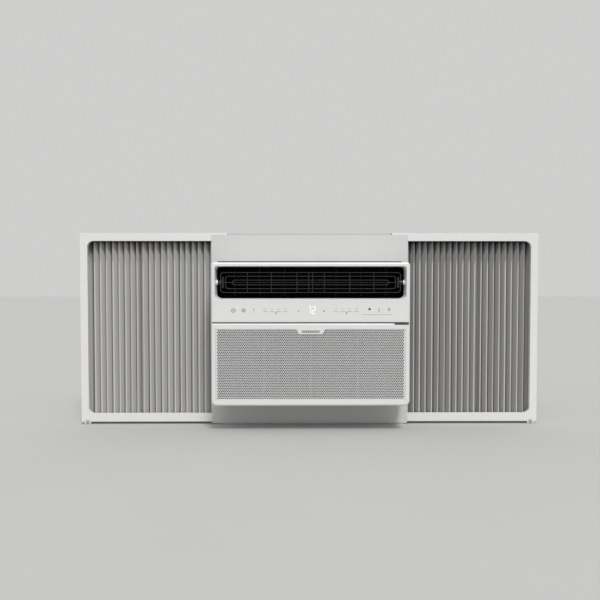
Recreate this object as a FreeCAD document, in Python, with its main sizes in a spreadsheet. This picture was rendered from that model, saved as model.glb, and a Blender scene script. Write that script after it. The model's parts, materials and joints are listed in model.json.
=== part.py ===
"""Window air conditioner: a cooling unit with its side curtains, as separate pieces.

Millimetres. +Z is up, -Y faces the room, +Y faces outdoors, and +X is to the right as seen
from the room. The origin is on the underside of the support rail's foot, where it rests on
the window sill, in the plane of the window kit's front.
"""

import FreeCAD, Part
import math
import os
import re
import Sketcher

Vector = FreeCAD.Vector
DOC = FreeCAD.newDocument("WindowAirConditioner")
SHEET = DOC.addObject("Spreadsheet::Sheet", "Dimensions")
NODES = []

DIMENSIONS = {
    # Curtain frames: U-shaped channels that slide sideways behind the filler plates.
    "frame_half": 574, "frame_low": 6, "frame_high": 480, "frame_deep": 26,
    "post_wide": 18, "bar_inner": 206, "low_bar": 20, "high_bar": 20,
    "groove_front": 10, "groove_back": 23, "groove_sink": 8, "corner_round": 15,
    "tab_half": 8, "tab_low": 0.4, "tab_high": 12, "tab_thick": 1.6, "screw_x": 559, "screw_z": 6.2,
    # Accordion curtains.
    "curtain_inner": 246, "pleat_pitch": 15.5, "curtain_front": 11, "curtain_back": 22,
    "film": 0.8, "film_tab": 14, "curtain_low": 20, "curtain_high": 466,
    # Filler plates and support rails at the middle of the window kit.
    "filler_half": 246, "filler_low": 2.2, "filler_high": 475, "filler_front": -1.9,
    "filler_steel": 1.5, "flange_half": 224, "flange_back": 60,
    "rail_half": 240, "rail_steel": 2, "web_front": 26.6, "foot_back": 75, "rail_high": 68,
    "ledge_back": 45, "sill_hole": 3.25, "sill_hole_x": 150, "sill_hole_y": 62,
    "side_rail_in": 227, "side_rail_low": 28, "side_rail_high": 458, "side_rail_front": 4,
    # Steel cabinet.
    "cab_half": 226, "cab_low": 70, "cab_high": 398, "cab_front": -70, "cab_back": 398,
    "sheet": 1.2, "pan_high": 95, "drain_x": -170, "drain_y": 372, "drain_r": 8,
    "spigot_r": 10, "spigot_low": 58, "vent_long": 62, "vent_high": 5, "vent_pitch": 13,
    "vent_y": 236, "vent_z": 130, "guard_bar": 3, "guard_thick": 2.6, "guard_pitch": 22,
    # Plastic front.
    "front_half": 235, "front_low": 64, "front_high": 404, "front_face": -100,
    "front_back": -34, "bezel_back": -94, "wall": 2.8, "low_round": 12, "high_round": 8,
    "edge_round": 5, "cavity_low_round": 9.2, "cavity_high_round": 5.2, "bevel_high": 4.8,
    "bevel_deep": 2.6, "outlet_half": 226, "outlet_low": 317.5, "outlet_high": 395,
    "sleeve_back": -78, "sleeve_draft": 3,
    "sleeve_wall": 2, "strip_low": 262.9, "overlay_half": 230, "overlay_low": 264.5,
    "overlay_high": 310, "overlay_thick": 1.1, "overlay_gap": 0.1,
    "frame_plate": -85, "plate_thick": 2.5, "intake_half": 226, "intake_low": 78,
    "intake_high": 254, "board_half": 205, "board_gap": 4, "board_thick": 1.6,
    "module_half": 14, "header_left": 150, "header_right": 190,
    # Tilting intake grille, its mesh and its hinges.
    "panel_back": -88, "panel_high": 262.2, "panel_skin": 2.5, "mesh_half": 225,
    "mesh_low": 78.6, "mesh_high": 246.6, "mesh_thick": 1, "tab_top": 34, "tab_bottom": 28,
    "badge_drop": 12, "hinge_y": -93, "hinge_z": 69, "hinge_pin": 2, "ear_x": 200, "ear_wide": 6,
    "ear_r": 4, "notch_x": 198, "notch_wide": 34, "notch_z": 256.5, "notch_deep": 9,
    "hook_in": 146, "hook_out": 158, "hook_low": 248.5, "hook_high": 253,
    "badge_half": 21, "badge_low": 238.1, "badge_high": 243.6, "badge_proud": 0.5,
    # Slide-out filter.
    "filter_left": -226, "filter_right": 228, "filter_low": 76, "filter_high": 250,
    "filter_front": -80, "filter_thick": 6, "filter_bar": 5, "screen_thick": 0.8,
    "handle_low": 140, "handle_high": 186, "slot_wall_low": 70, "slot_wall_high": 396,
    # Air outlet: duct, louver and vanes.
    "duct_half": 224, "duct_wall": 2, "duct_back": -8, "louver_y": -84, "louver_z": 356.5,
    "ring_1_high": 24.4, "ring_1_long": 214, "ring_1_round": 8, "ring_2_high": 15.5,
    "ring_2_long": 202, "ring_2_round": 6.5, "ring_3_high": 6.4, "ring_3_long": 186,
    "ring_3_round": 6.3, "rib_1": 4.8, "rib_2": 32.5, "rib_3": 93, "rib_4": 150,
    "knob_x": 208, "knob_r": 2.6, "knob_half": 13, "boss_r": 6, "boss_in": 211, "boss_out": 216,
    "louver_deep": 14, "ring_thick": 1.6, "louver_pin": 3, "vane_y": -46, "vane_deep": 40,
    "vane_thick": 1.6, "vane_first": 62, "vane_pitch": 60, "vane_pin": 2, "crank": 10,
    "crank_pin": 1.5, "link_low": 330, "link_thick": 3, "blade_low": 326, "blade_high": 390,
    # Fan line: motor, blower wheel and condenser fan on one shaft.
    "shaft_x": -30, "shaft_z": 200, "shaft_r": 4, "shaft_front": 0, "shaft_back": 300,
    "wheel_r": 80, "wheel_front": 8, "wheel_back": 62, "motor_r": 46, "motor_front": 110,
    "motor_back": 190, "fan_r": 112, "fan_front": 262, "fan_back": 292, "hub_r": 24,
    "running_gap": 0.05,
    "blade_count": 32, "fan_blades": 5, "stand_half": 50, "stand_plate": 62,
    "stand_front": 135, "stand_back": 165, "stand_wall": 3,
    # Blower scroll, partition and shroud.
    "scroll_half": 221, "scroll_top": 395, "scroll_front": -7.5, "scroll_back": 72,
    "scroll_wall": 4, "volute_r": 96, "inlet_r": 62, "bay_x": 165, "bay_z": 318,
    "partition_y": 74, "shroud_y": 276, "shroud_hole": 120,
    # Heat exchangers.
    "evap_left": -200, "evap_right": 160, "evap_front": -60, "evap_back": -34, "evap_low": 80,
    "evap_high": 254, "cond_left": -200, "cond_right": 190, "cond_front": 330, "cond_back": 365,
    "cond_low": 78, "cond_high": 390, "fin_pitch": 6, "fin_thick": 0.6, "fin_web": 1,
    "tube_r": 4, "tube_out": 4, "evap_passes": 6, "cond_passes": 10,
    # Refrigerant circuit.
    "comp_x": 140, "comp_y": 185, "comp_r": 58, "comp_low": 86, "comp_high": 300, "comp_dome": 40,
    "foot_half": 62, "foot_thick": 3, "bolt_inset": 8, "grommet_r": 9, "bolt_r": 3, "nut_r": 6,
    "nut_high": 5, "pipe_r": 5, "pipe_bend": 10, "suction_x": 206, "suction_y": 254,
    "suction_low": 104, "suction_high": 330, "suction_drop": 45, "vessel_x": 64, "vessel_y": 226,
    "vessel_low": 130, "vessel_high": 262, "vessel_r": 20, "discharge_x": 205,
    "discharge_z": 350, "discharge_bend": 8, "drier_x": 212, "drier_y": 308, "drier_low": 120,
    "drier_high": 190, "drier_r": 9, "drier_end": 12, "drier_neck": 3, "capillary_x": 216,
    "capillary_y": 250, "capillary_low": 128, "capillary_high": 232, "capillary_r": 1.5,
    "capillary_bend": 16,
    # Electrical pieces.
    "ebox_in": 170, "ebox_out": 222, "ebox_low": 150, "ebox_high": 310, "ebox_front": -4,
    "ebox_back": 66, "relay_front": 8, "relay_back": 26, "coil_front": 30, "coil_back": 54,
    "capacitor_r": 16, "capacitor_long": 62, "gland_x": 200, "gland_y": -50, "gland_r": 9,
    "gland_long": 14, "gland_wall": 1.6, "cord_r": 4.2,
    # Fasteners.
    "head_r": 4, "head_thick": 2.2, "shank_r": 1.8, "shank_long": 6, "dome_r": 5.5,
    "screw_y_1": 90, "screw_y_2": 210, "screw_y_3": 378, "case_screw_z": 84,
    "front_screw_y": -44, "front_screw_z_1": 120, "front_screw_z_2": 340,
}


def fill_sheet():
    """Write every driving dimension into the sheet, with its word as the alias."""
    for row, (word, number) in enumerate(DIMENSIONS.items(), 1):
        SHEET.set(f"A{row}", word)
        SHEET.set(f"B{row}", str(number))
        SHEET.setAlias(f"B{row}", word)
    DOC.recompute()


def size(word):
    """The number that the sheet holds for one dimension."""
    return float(getattr(SHEET, word))


def formula(text):
    """An expression in plain dimension words, made into one that reads the sheet."""
    def to_cell(match):
        word = match.group()
        return f"Dimensions.{word}" if word in DIMENSIONS else word
    return re.sub(r"[a-z][a-z_0-9]*", to_cell, str(text))


def bind(item, path, text):
    item.setExpression(path, formula(text))


def box(x, y, z):
    """A block between the low and high formula of each axis."""
    item = DOC.addObject("Part::Box", "Block")
    for side, axis, (low, high) in zip(("Length", "Width", "Height"), "xyz", (x, y, z)):
        bind(item, side, f"({high}) - ({low})")
        bind(item, f"Placement.Base.{axis}", low)
    return item


AXIS_TURN = {
    "x": FreeCAD.Rotation(Vector(0, 1, 0), 90),
    "y": FreeCAD.Rotation(Vector(1, 0, 0), -90),
    "z": FreeCAD.Rotation(),
}


def rod(axis, start, length, radius):
    """A cylinder from a start point of three formulas, along one axis."""
    item = DOC.addObject("Part::Cylinder", "Rod")
    item.Placement.Rotation = AXIS_TURN[axis]
    bind(item, "Height", length)
    bind(item, "Radius", radius)
    for name, text in zip("xyz", start):
        bind(item, f"Placement.Base.{name}", text)
    return item


def join(*items):
    item = DOC.addObject("Part::MultiFuse", "Joined")
    item.Shapes = list(items)
    return item


def cut(base, *tools):
    item = DOC.addObject("Part::Cut", "Cut")
    item.Base = base
    item.Tool = tools[0] if len(tools) == 1 else join(*tools)
    return item


def together(*items):
    """Separate solids that share one node."""
    item = DOC.addObject("Part::Compound", "Set")
    item.Links = list(items)
    return item


def mirrored(source):
    """The piece's twin on the other side of the middle plane."""
    item = DOC.addObject("Part::Mirroring", "Twin")
    item.Source = source
    item.Normal = Vector(1, 0, 0)
    return item


def rounded(base, radius, choose):
    """Round the edges that choose(edge) accepts, by a dimension's word or a number."""
    DOC.recompute()
    item = DOC.addObject("Part::Fillet", "Rounded")
    item.Base = base
    number = size(radius) if radius in DIMENSIONS else radius
    edges = enumerate(base.Shape.Edges, 1)
    item.Edges = [(index, number, number) for index, edge in edges if choose(edge)]
    return item


def runs_along(edge, axis):
    """True for a straight edge parallel to an axis, given as 0, 1 or 2."""
    if len(edge.Vertexes) != 2 or edge.Curve.TypeId != "Part::GeomLine":
        return False
    direction = edge.Vertexes[1].Point - edge.Vertexes[0].Point
    return abs(abs(direction[axis]) - direction.Length) < 1e-6


def origin_plane(body, role):
    return next(item for item in body.Origin.OriginFeatures if item.Role == role)


def polygon(body, plane, level, corners):
    """A closed sketch through corners, each a pair of formulas, at a level on a plane."""
    sketch = body.newObject("Sketcher::SketchObject", "Outline")
    sketch.AttachmentSupport = [(origin_plane(body, plane), "")]
    sketch.MapMode = "FlatFace"
    bind(sketch, "AttachmentOffset.Base.z", level)
    count = len(corners)
    turns = [2 * math.pi * index / count for index in range(count)]
    spread = [Vector(math.cos(turn), math.sin(turn), 0) * size("front_half") for turn in turns]
    for index in range(count):
        line = Part.LineSegment(spread[index], spread[(index + 1) % count])
        sketch.addGeometry(line, False)
    for index in range(count):
        sketch.addConstraint(Sketcher.Constraint("Coincident", index, 2, (index + 1) % count, 1))
    for index, corner in enumerate(corners):
        for kind, text, start in zip(("DistanceX", "DistanceY"), corner, spread[index]):
            number = sketch.addConstraint(Sketcher.Constraint(kind, index, 1, start))
            bind(sketch, f"Constraints[{number}]", text)
    return sketch


def new_body(name):
    return DOC.addObject("PartDesign::Body", name)


def pad(body, sketch, length):
    feature = body.newObject("PartDesign::Pad", "Pad")
    feature.Profile = sketch
    bind(feature, "Length", length)
    return feature


def through(body, sketch):
    """A pocket that goes through the whole piece, both ways from its sketch."""
    feature = body.newObject("PartDesign::Pocket", "Opening")
    feature.Profile = sketch
    feature.Type = "ThroughAll"
    feature.SideType = "Symmetric"
    return feature


def bar_of(name, plane, level, corners, length):
    """A body whose outline is pushed out along the plane's normal."""
    body = new_body(name)
    pad(body, polygon(body, plane, level, corners), length)
    return body


def solid_of(name, shape):
    item = DOC.addObject("Part::Feature", name)
    item.Shape = shape
    item.Placement = FreeCAD.Placement()
    return item


def node(name, item):
    """Give a finished sub-part its label, which also names its file."""
    item.Label = name
    NODES.append(item)
    return item


def at_both_sides(make):
    """The same piece made at the right (+1) and at the left (-1)."""
    return [make(side) for side in (1, -1)]


def span(side, low, high):
    """A pair of formulas along X, swapped for the left side."""
    return (low, high) if side > 0 else (f"-({high})", f"-({low})")


def bent_path(points, radius):
    """Straight runs through the points, joined by tangent arcs."""
    points = [Vector(*point) for point in points]
    edges = []
    start = points[0]
    for before, corner, after in zip(points, points[1:], points[2:]):
        into = (corner - before).normalize()
        out = (after - corner).normalize()
        half = into.getAngle(out) / 2
        reach = radius * math.tan(half)
        first = corner - into * reach
        last = corner + out * reach
        middle = corner + (out - into).normalize() * (radius / math.cos(half) - radius)
        edges.append(Part.LineSegment(start, first).toShape())
        edges.append(Part.Arc(first, middle, last).toShape())
        start = last
    edges.append(Part.LineSegment(start, points[-1]).toShape())
    return Part.Wire(edges)


def tube_along(path, radius):
    """A round bar swept along a path."""
    first = path.Edges[0]
    start = first.valueAt(first.FirstParameter)
    ahead = first.tangentAt(first.FirstParameter)
    ring = Part.Wire(Part.makeCircle(radius, start, ahead))
    return path.makePipeShell([ring], True, True)


# ---------------------------------------------------------------- window kit


def make_support_rail():
    """A folded channel whose foot rests on the sill and whose ledge carries the cabinet."""
    web_back = "web_front + rail_steel"
    outline = [
        ("filler_front", "0"), ("foot_back", "0"), ("foot_back", "rail_steel"),
        (web_back, "rail_steel"), (web_back, "rail_high - rail_steel"),
        ("ledge_back", "rail_high - rail_steel"), ("ledge_back", "rail_high"),
        ("web_front", "rail_high"), ("web_front", "rail_steel"), ("filler_front", "rail_steel"),
    ]
    channel = bar_of("SupportRail", "YZ_Plane", "-rail_half", outline, "2 * rail_half")
    holes = [rod("z", (f"{side} * sill_hole_x", "sill_hole_y", "-1"), "rail_steel + 2", "sill_hole")
             for side in (1, -1)]
    node("support_rail", cut(channel, *holes))


def make_lower_filler():
    """The plate below the cabinet, with a flange that the base pan clamps."""
    back = "filler_front + filler_steel"
    top = "cab_low - 0.3"
    face = box(("-filler_half", "filler_half"), ("filler_front", back), ("filler_low", top))
    flange = box(("-flange_half", "flange_half"), ("filler_front", "flange_back"),
                 (f"{top} - filler_steel", top))
    node("lower_filler", join(face, flange))


def make_upper_filler():
    """The plate above the cabinet, with a flange that lies on the cabinet's top."""
    back = "filler_front + filler_steel"
    low = "cab_high + 0.2"
    face = box(("-filler_half", "filler_half"), ("filler_front", back), (low, "filler_high"))
    flange = box(("-flange_half", "flange_half"), ("filler_front", "flange_back"),
                 (low, f"{low} + filler_steel"))
    node("upper_filler", join(face, flange))


def make_upper_rail():
    """The angle on the cabinet's top whose upright guides the frames' top bars."""
    low = "cab_high + 0.2 + filler_steel"
    outline = [
        ("web_front", low), ("flange_back", low), ("flange_back", f"{low} + rail_steel"),
        ("web_front + rail_steel", f"{low} + rail_steel"),
        ("web_front + rail_steel", "frame_high"), ("web_front", "frame_high"),
    ]
    node("upper_rail", bar_of("UpperRail", "YZ_Plane", "-flange_half", outline, "2 * flange_half"))


def make_side_rails():
    """Channels at the cabinet's sides that hold the inner end of each curtain."""
    inner = "side_rail_in"
    web = "side_rail_in + filler_steel"
    back = "frame_deep - 0.6"
    outline = [
        (inner, "side_rail_front"), ("filler_half", "side_rail_front"),
        ("filler_half", "side_rail_front + filler_steel"), (web, "side_rail_front + filler_steel"),
        (web, f"{back} - filler_steel"), ("filler_half", f"{back} - filler_steel"),
        ("filler_half", back), (inner, back),
    ]
    right = bar_of("SideRail", "XY_Plane", "side_rail_low", outline, "side_rail_high - side_rail_low")
    node("side_rails", together(right, mirrored(right)))


def make_curtain_frames():
    """U-shaped frames with a groove all round for the curtain, one for each side."""
    deep = ("0", "frame_deep")
    groove = ("groove_front", "groove_back")
    post_in = "frame_half - post_wide"
    low_top = "frame_low + low_bar"
    high_under = "frame_high - high_bar"
    length = ("bar_inner", "frame_half")
    bars = [
        box(length, deep, ("frame_low", low_top)),
        box(length, deep, (high_under, "frame_high")),
        box((post_in, "frame_half"), deep, ("frame_low", "frame_high")),
        box(("screw_x - tab_half", "screw_x + tab_half"), ("0", "tab_thick"),
            ("tab_low", "tab_high")),
    ]
    fillets = []
    for edge, away in ((low_top, "+"), (high_under, "-")):
        span_z = sorted_span(edge, f"{edge} {away} corner_round", away)
        block = box((f"{post_in} - corner_round", post_in), ("0", "groove_front"), span_z)
        round_off = rod("y", (f"{post_in} - corner_round", "-1", f"{edge} {away} corner_round"),
                        "groove_front + 2", "corner_round")
        fillets.append(cut(block, round_off))
    grooves = [
        box(("bar_inner - 1", f"{post_in} + groove_sink"), groove,
            (f"{low_top} - groove_sink", f"{low_top} + 1")),
        box(("bar_inner - 1", f"{post_in} + groove_sink"), groove,
            (f"{high_under} - 1", f"{high_under} + groove_sink")),
        box((f"{post_in} - 1", f"{post_in} + groove_sink"), groove,
            (f"{low_top} - groove_sink", f"{high_under} + groove_sink")),
    ]
    right = cut(join(*bars, *fillets), *grooves)
    node("right_curtain_frame", right)
    node("left_curtain_frame", mirrored(right))


def sorted_span(near, far, away):
    return (near, far) if away == "+" else (far, near)


def make_curtains():
    """Accordion curtains: a thin folded film from the side rail to the frame's post."""
    inner = size("curtain_inner")
    pitch = size("pleat_pitch")
    film = size("film")
    front = size("curtain_front")
    back = size("curtain_back")
    outer = size("frame_half") - size("post_wide")
    pleats = round((outer - inner) / pitch)
    middle = (front + back) / 2
    folds = [(inner - size("film_tab"), middle), (inner, middle)]
    for pleat in range(pleats):
        start = inner + pleat * pitch
        folds.append((start + pitch / 4, front))
        folds.append((start + pitch * 3 / 4, back - film))
    folds.append((outer, middle))
    folds.append((outer + size("groove_sink") - 2, middle))
    base = size("curtain_low")
    near = [Vector(x, y, base) for x, y in folds]
    far = [Vector(x, y + film, base) for x, y in reversed(folds)]
    outline = Part.makePolygon(near + far + near[:1])
    height = size("curtain_high") - base
    right = solid_of("Curtain", Part.Face(outline).extrude(Vector(0, 0, height)))
    node("right_curtain", right)
    node("left_curtain", mirrored(right))


def make_frame_screws():
    """A domed screw through the tab at the outer bottom corner of each frame."""
    head = DOC.addObject("Part::Sphere", "Dome")
    bind(head, "Radius", "dome_r * 1.25")
    bind(head, "Placement.Base.x", "screw_x")
    bind(head, "Placement.Base.y", "dome_r * 0.75")
    bind(head, "Placement.Base.z", "screw_z")
    keep = box(("screw_x - 2 * dome_r", "screw_x + 2 * dome_r"), ("-dome_r", "0"),
               ("screw_z - 2 * dome_r", "screw_z + 2 * dome_r"))
    dome = DOC.addObject("Part::Common", "Head")
    dome.Base = head
    dome.Tool = keep
    shank = rod("y", ("screw_x", "-0.5", "screw_z"), "shank_long + 0.5", "shank_r")
    right = join(dome, shank)
    node("right_frame_screws", right)
    node("left_frame_screws", mirrored(right))


# ---------------------------------------------------------------- cabinet


def make_base_pan():
    """The folded steel tray that carries everything, with a drain spigot below."""
    half = "cab_half - 1.5"
    front = "cab_front + 2"
    back = "cab_back - 2"
    tray = box((f"-({half})", half), (front, back), ("cab_low", "pan_high"))
    inside = box((f"-({half} - sheet)", f"{half} - sheet"), (f"{front} + sheet", f"{back} - sheet"),
                 ("cab_low + sheet", "pan_high + 1"))
    spigot = rod("z", ("drain_x", "drain_y", "spigot_low"), "cab_low - spigot_low + 0.5", "spigot_r")
    drain = rod("z", ("drain_x", "drain_y", "spigot_low - 1"), "20", "drain_r")
    cord_hole = rod("z", ("gland_x", "gland_y", "cab_low - 1"), "5", "gland_r")
    node("base_pan", cut(join(cut(tray, inside), spigot), drain, cord_hole))


def make_cabinet_cover():
    """The steel wrapper: two sides and a top, with air slots near the back."""
    outer = box(("-cab_half", "cab_half"), ("cab_front", "cab_back"), ("cab_low + 1", "cab_high"))
    inner = box(("-(cab_half - sheet)", "cab_half - sheet"), ("cab_front - 1", "cab_back + 1"),
                ("cab_low", "cab_high - sheet"))
    slots = []
    for row in range(16):
        low = f"vent_z + {row} * vent_pitch"
        for column in range(2):
            start = f"vent_y + {column} * (vent_long + 12)"
            slots.append(box(("-cab_half - 1", "cab_half + 1"), (start, f"{start} + vent_long"),
                             (low, f"{low} + vent_high")))
    for row in range(-13, 14):
        left = f"{row} * vent_pitch - vent_high / 2"
        slots.append(box((left, f"{left} + vent_high"),
                         ("vent_y + 20", "vent_y + 20 + 1.6 * vent_long"),
                         ("cab_high - 2 * sheet", "cab_high + 1")))
    node("cabinet_cover", cut(cut(outer, inner), *slots))


def make_rear_grille():
    """The guard over the condenser: a rim with upright bars and three rails."""
    half = "cab_half - 3"
    low = "cab_low + 3"
    high = "cab_high - 3"
    thick = ("cab_back + 0.3", "cab_back + 0.3 + guard_thick")
    rim = cut(box((f"-({half})", half), thick, (low, high)),
              box((f"-({half} - 10)", f"{half} - 10"), ("cab_back", "cab_back + 5"),
                  (f"{low} + 10", f"{high} - 10")))
    bars = [box((f"{index} * guard_pitch - guard_bar / 2", f"{index} * guard_pitch + guard_bar / 2"),
                thick, (low, high)) for index in range(-9, 10)]
    rails = [box((f"-({half})", half), thick, (f"{low} + {part} * ({high} - ({low})) - guard_bar",
                                              f"{low} + {part} * ({high} - ({low})) + guard_bar"))
             for part in (0.25, 0.5, 0.75)]
    node("rear_grille", join(rim, *bars, *rails))


def make_partition():
    """The bulkhead between the room side and the outdoor side."""
    sheet = box(("-(cab_half - 3.5)", "cab_half - 3.5"), ("partition_y", "partition_y + sheet"),
                ("cab_low + 1.5", "cab_high - 1.5"))
    shaft_hole = rod("y", ("shaft_x", "partition_y - 1", "shaft_z"), "5", "shaft_r * 4")
    pipe_hole = rod("y", ("suction_x", "partition_y - 1", "suction_low"), "5",
                    "pipe_r * 1.6")
    thin_hole = rod("y", ("capillary_x", "partition_y - 1", "capillary_low"), "5", "pipe_r")
    node("partition", cut(sheet, shaft_hole, pipe_hole, thin_hole))


# ---------------------------------------------------------------- plastic front


def front_block():
    """The front's outer form: rounded corners and softened edges round its face."""
    block = box(("-front_half", "front_half"), ("front_face", "front_back"),
                ("front_low", "front_high"))
    middle = (size("front_low") + size("front_high")) / 2
    high = rounded(block, "high_round", lambda e: runs_along(e, 1) and e.CenterOfMass.z > middle)
    low = rounded(high, "low_round", lambda e: runs_along(e, 1) and e.CenterOfMass.z < middle
                  and abs(abs(e.CenterOfMass.x) - size("front_half")) < 0.1)
    face = size("front_face")
    return rounded(low, "edge_round", lambda e: abs(e.BoundBox.YMin - face) < 0.01
                   and abs(e.BoundBox.YMax - face) < 0.01)


def front_shell():
    """The front's skin, open at the back and where the intake panel goes."""
    block = box(("-(front_half - wall)", "front_half - wall"),
                ("front_face + wall", "front_back + 1"), ("front_low + wall", "front_high - wall"))
    middle = (size("front_low") + size("front_high")) / 2
    low = rounded(block, "cavity_low_round",
                  lambda e: runs_along(e, 1) and e.CenterOfMass.z < middle)
    cavity = rounded(low, "cavity_high_round",
                     lambda e: runs_along(e, 1) and e.CenterOfMass.z > middle)
    panel_room = box(("-front_half - 1", "front_half + 1"), ("front_face - 1", "frame_plate"),
                     ("front_low - 1", "strip_low"))
    return cut(front_block(), cavity, panel_room)


def make_front_bezel():
    """The moulded face: the air outlet's opening and the seat of the control strip."""
    behind = box(("-front_half - 1", "front_half + 1"), ("bezel_back", "front_back + 1"),
                 ("front_low - 1", "front_high + 1"))
    overlay_seat = box(("-overlay_half", "overlay_half"),
                       ("front_face - 1", "front_face + overlay_thick + overlay_gap"),
                       ("overlay_low", "overlay_high"))
    node("front_bezel", cut(front_shell(), behind, overlay_seat, outlet_air()))


def slot_wall_box(near):
    """The space of the right wall, from near outwards."""
    return box((near, "front_half + 1"), ("bezel_back", "front_back + 1"),
               ("slot_wall_low", "slot_wall_high"))


def make_front_surround():
    """The walls behind the face, with the cord's hole; the right one has the filter's slot."""
    before = box(("-front_half - 1", "front_half + 1"), ("front_face - 1", "bezel_back"),
                 ("front_low - 1", "front_high + 1"))
    cord_hole = rod("z", ("gland_x", "gland_y", "front_low - 1"), "2 * wall", "gland_r - 1.5")
    walls = cut(front_shell(), before)
    node("front_surround", cut(walls, slot_wall_box("front_half - wall - 1"), cord_hole))
    filter_slot = box(("front_half - 2 * wall", "front_half + 1"),
                      ("filter_front - 1", "filter_front + filter_thick + 0.6"),
                      ("filter_low - 2", "filter_high + 2"))
    wall = DOC.addObject("Part::Common", "Shared")
    wall.Base = walls
    wall.Tool = slot_wall_box("front_half - wall")
    node("slot_wall", cut(wall, filter_slot))


def make_filter_guide():
    """The recessed plate round the air intake, with the shelf over it and the panel's ears."""
    inside = ("-(front_half - wall)", "front_half - wall")
    block = box(inside, ("frame_plate", "frame_plate + plate_thick"),
                ("front_low + wall", "strip_low + 1"))
    soft = rounded(block, "cavity_low_round",
                   lambda e: runs_along(e, 1) and e.CenterOfMass.z < size("intake_low"))
    air = box(("-intake_half", "intake_half"), ("frame_plate - 1", "frame_plate + 5"),
              ("intake_low", "intake_high"))
    plate = cut(soft, air)
    shelf = box(inside, ("bezel_back", "frame_plate + plate_thick"),
                ("strip_low", "strip_low + 2"))
    ears = at_both_sides(lambda side: box(
        span(side, "ear_x", "ear_x + ear_wide"), ("hinge_y", "frame_plate"),
        ("hinge_z - ear_r", "hinge_z + ear_r")))
    ear_ends = at_both_sides(lambda side: rod(
        "x", (span(side, "ear_x", "ear_x + ear_wide")[0], "hinge_y", "hinge_z"),
        "ear_wide", "ear_r"))
    hinge_holes = rod("x", ("-front_half", "hinge_y", "hinge_z"), "2 * front_half",
                      "hinge_pin + running_gap")
    node("filter_guide", cut(join(plate, shelf, *ears, *ear_ends), hinge_holes))


def make_outlet_sleeve():
    """The drafted sleeve behind the outlet's opening, with the louver's pin holes."""
    louver_holes = rod("x", ("-(outlet_half + sleeve_wall + 1)", "louver_y", "louver_z"),
                       "2 * (outlet_half + sleeve_wall + 1)", "louver_pin + running_gap")
    inside = taper("sleeve_wall")
    lean = size("sleeve_draft") / (size("sleeve_back") - size("front_face"))
    inside = rounded(inside, "low_round", lambda e: e.CenterOfMass.z < size("louver_z")
                     and abs(e.tangentAt(e.FirstParameter).y) > 1 - lean)
    inside = rounded(inside, "high_round", lambda e: e.CenterOfMass.z > size("louver_z")
                     and e.Curve.TypeId == "Part::GeomLine"
                     and abs(e.tangentAt(e.FirstParameter).y) > 1 - lean)
    seats = at_both_sides(lambda side: rod(
        "x", (span(side, "outlet_half - boss_r", "outlet_half - 0.5")[0], "louver_y", "louver_z"),
        "boss_r - 0.5", "boss_r"))
    node("outlet_sleeve", cut(join(cut(taper("0"), inside), *seats), louver_holes))


def wedge(near, far, low, high, draft, start, end):
    """A block along Y that narrows by draft on all four sides from start to end."""
    item = DOC.addObject("Part::Wedge", "Taper")
    values = {
        "Xmin": near, "Xmax": far, "Zmin": low, "Zmax": high, "Ymin": start, "Ymax": end,
        "X2min": f"({near}) + {draft}", "X2max": f"({far}) - {draft}",
        "Z2min": f"({low}) + {draft} / 2", "Z2max": f"({high}) - {draft} / 2",
    }
    for name, text in values.items():
        bind(item, name, text)
    return item


def taper(inset):
    """The sleeve behind the outlet opening, outside (no inset) or inside."""
    return wedge(f"-(outlet_half + sleeve_wall - {inset})", f"outlet_half + sleeve_wall - {inset}",
                 f"outlet_low - sleeve_wall + {inset}", f"outlet_high + sleeve_wall - {inset}",
                 "sleeve_draft", "front_face + wall", "sleeve_back")


def outlet_air():
    """The opening through the face at the outlet, with rounded corners."""
    air = box(("-outlet_half", "outlet_half"), ("front_face - 1", "bezel_back + 1"),
              ("outlet_low", "outlet_high"))
    low = rounded(air, "low_round", lambda e: runs_along(e, 1)
                  and e.CenterOfMass.z < size("louver_z"))
    return rounded(low, "edge_round", lambda e: runs_along(e, 1)
                   and e.CenterOfMass.z > size("louver_z"))


def make_control_overlay():
    """The smooth touch-control cover set into the front."""
    node("control_overlay", box(
        ("-(overlay_half - 0.15)", "overlay_half - 0.15"),
        ("front_face", "front_face + overlay_thick"), ("overlay_low + 0.15", "overlay_high - 0.15")))


def display_board():
    """The circuit board behind the control strip, with its display module."""
    start = "front_face + board_gap"
    board = box(("-board_half", "board_half"), (start, f"{start} + board_thick"),
                ("overlay_low + 6", "overlay_high - 8"))
    module = box(("-module_half", "module_half"),
                 ("front_face + wall + 0.2", f"{start} + board_thick / 2"),
                 ("overlay_low + 16", "overlay_low + 36"))
    header = box(("header_left", "header_right"),
                 (f"{start} + board_thick / 2", f"{start} + 5 * board_thick"),
                 ("overlay_low + 14", "overlay_low + 22"))
    return join(board, module, header)


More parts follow.
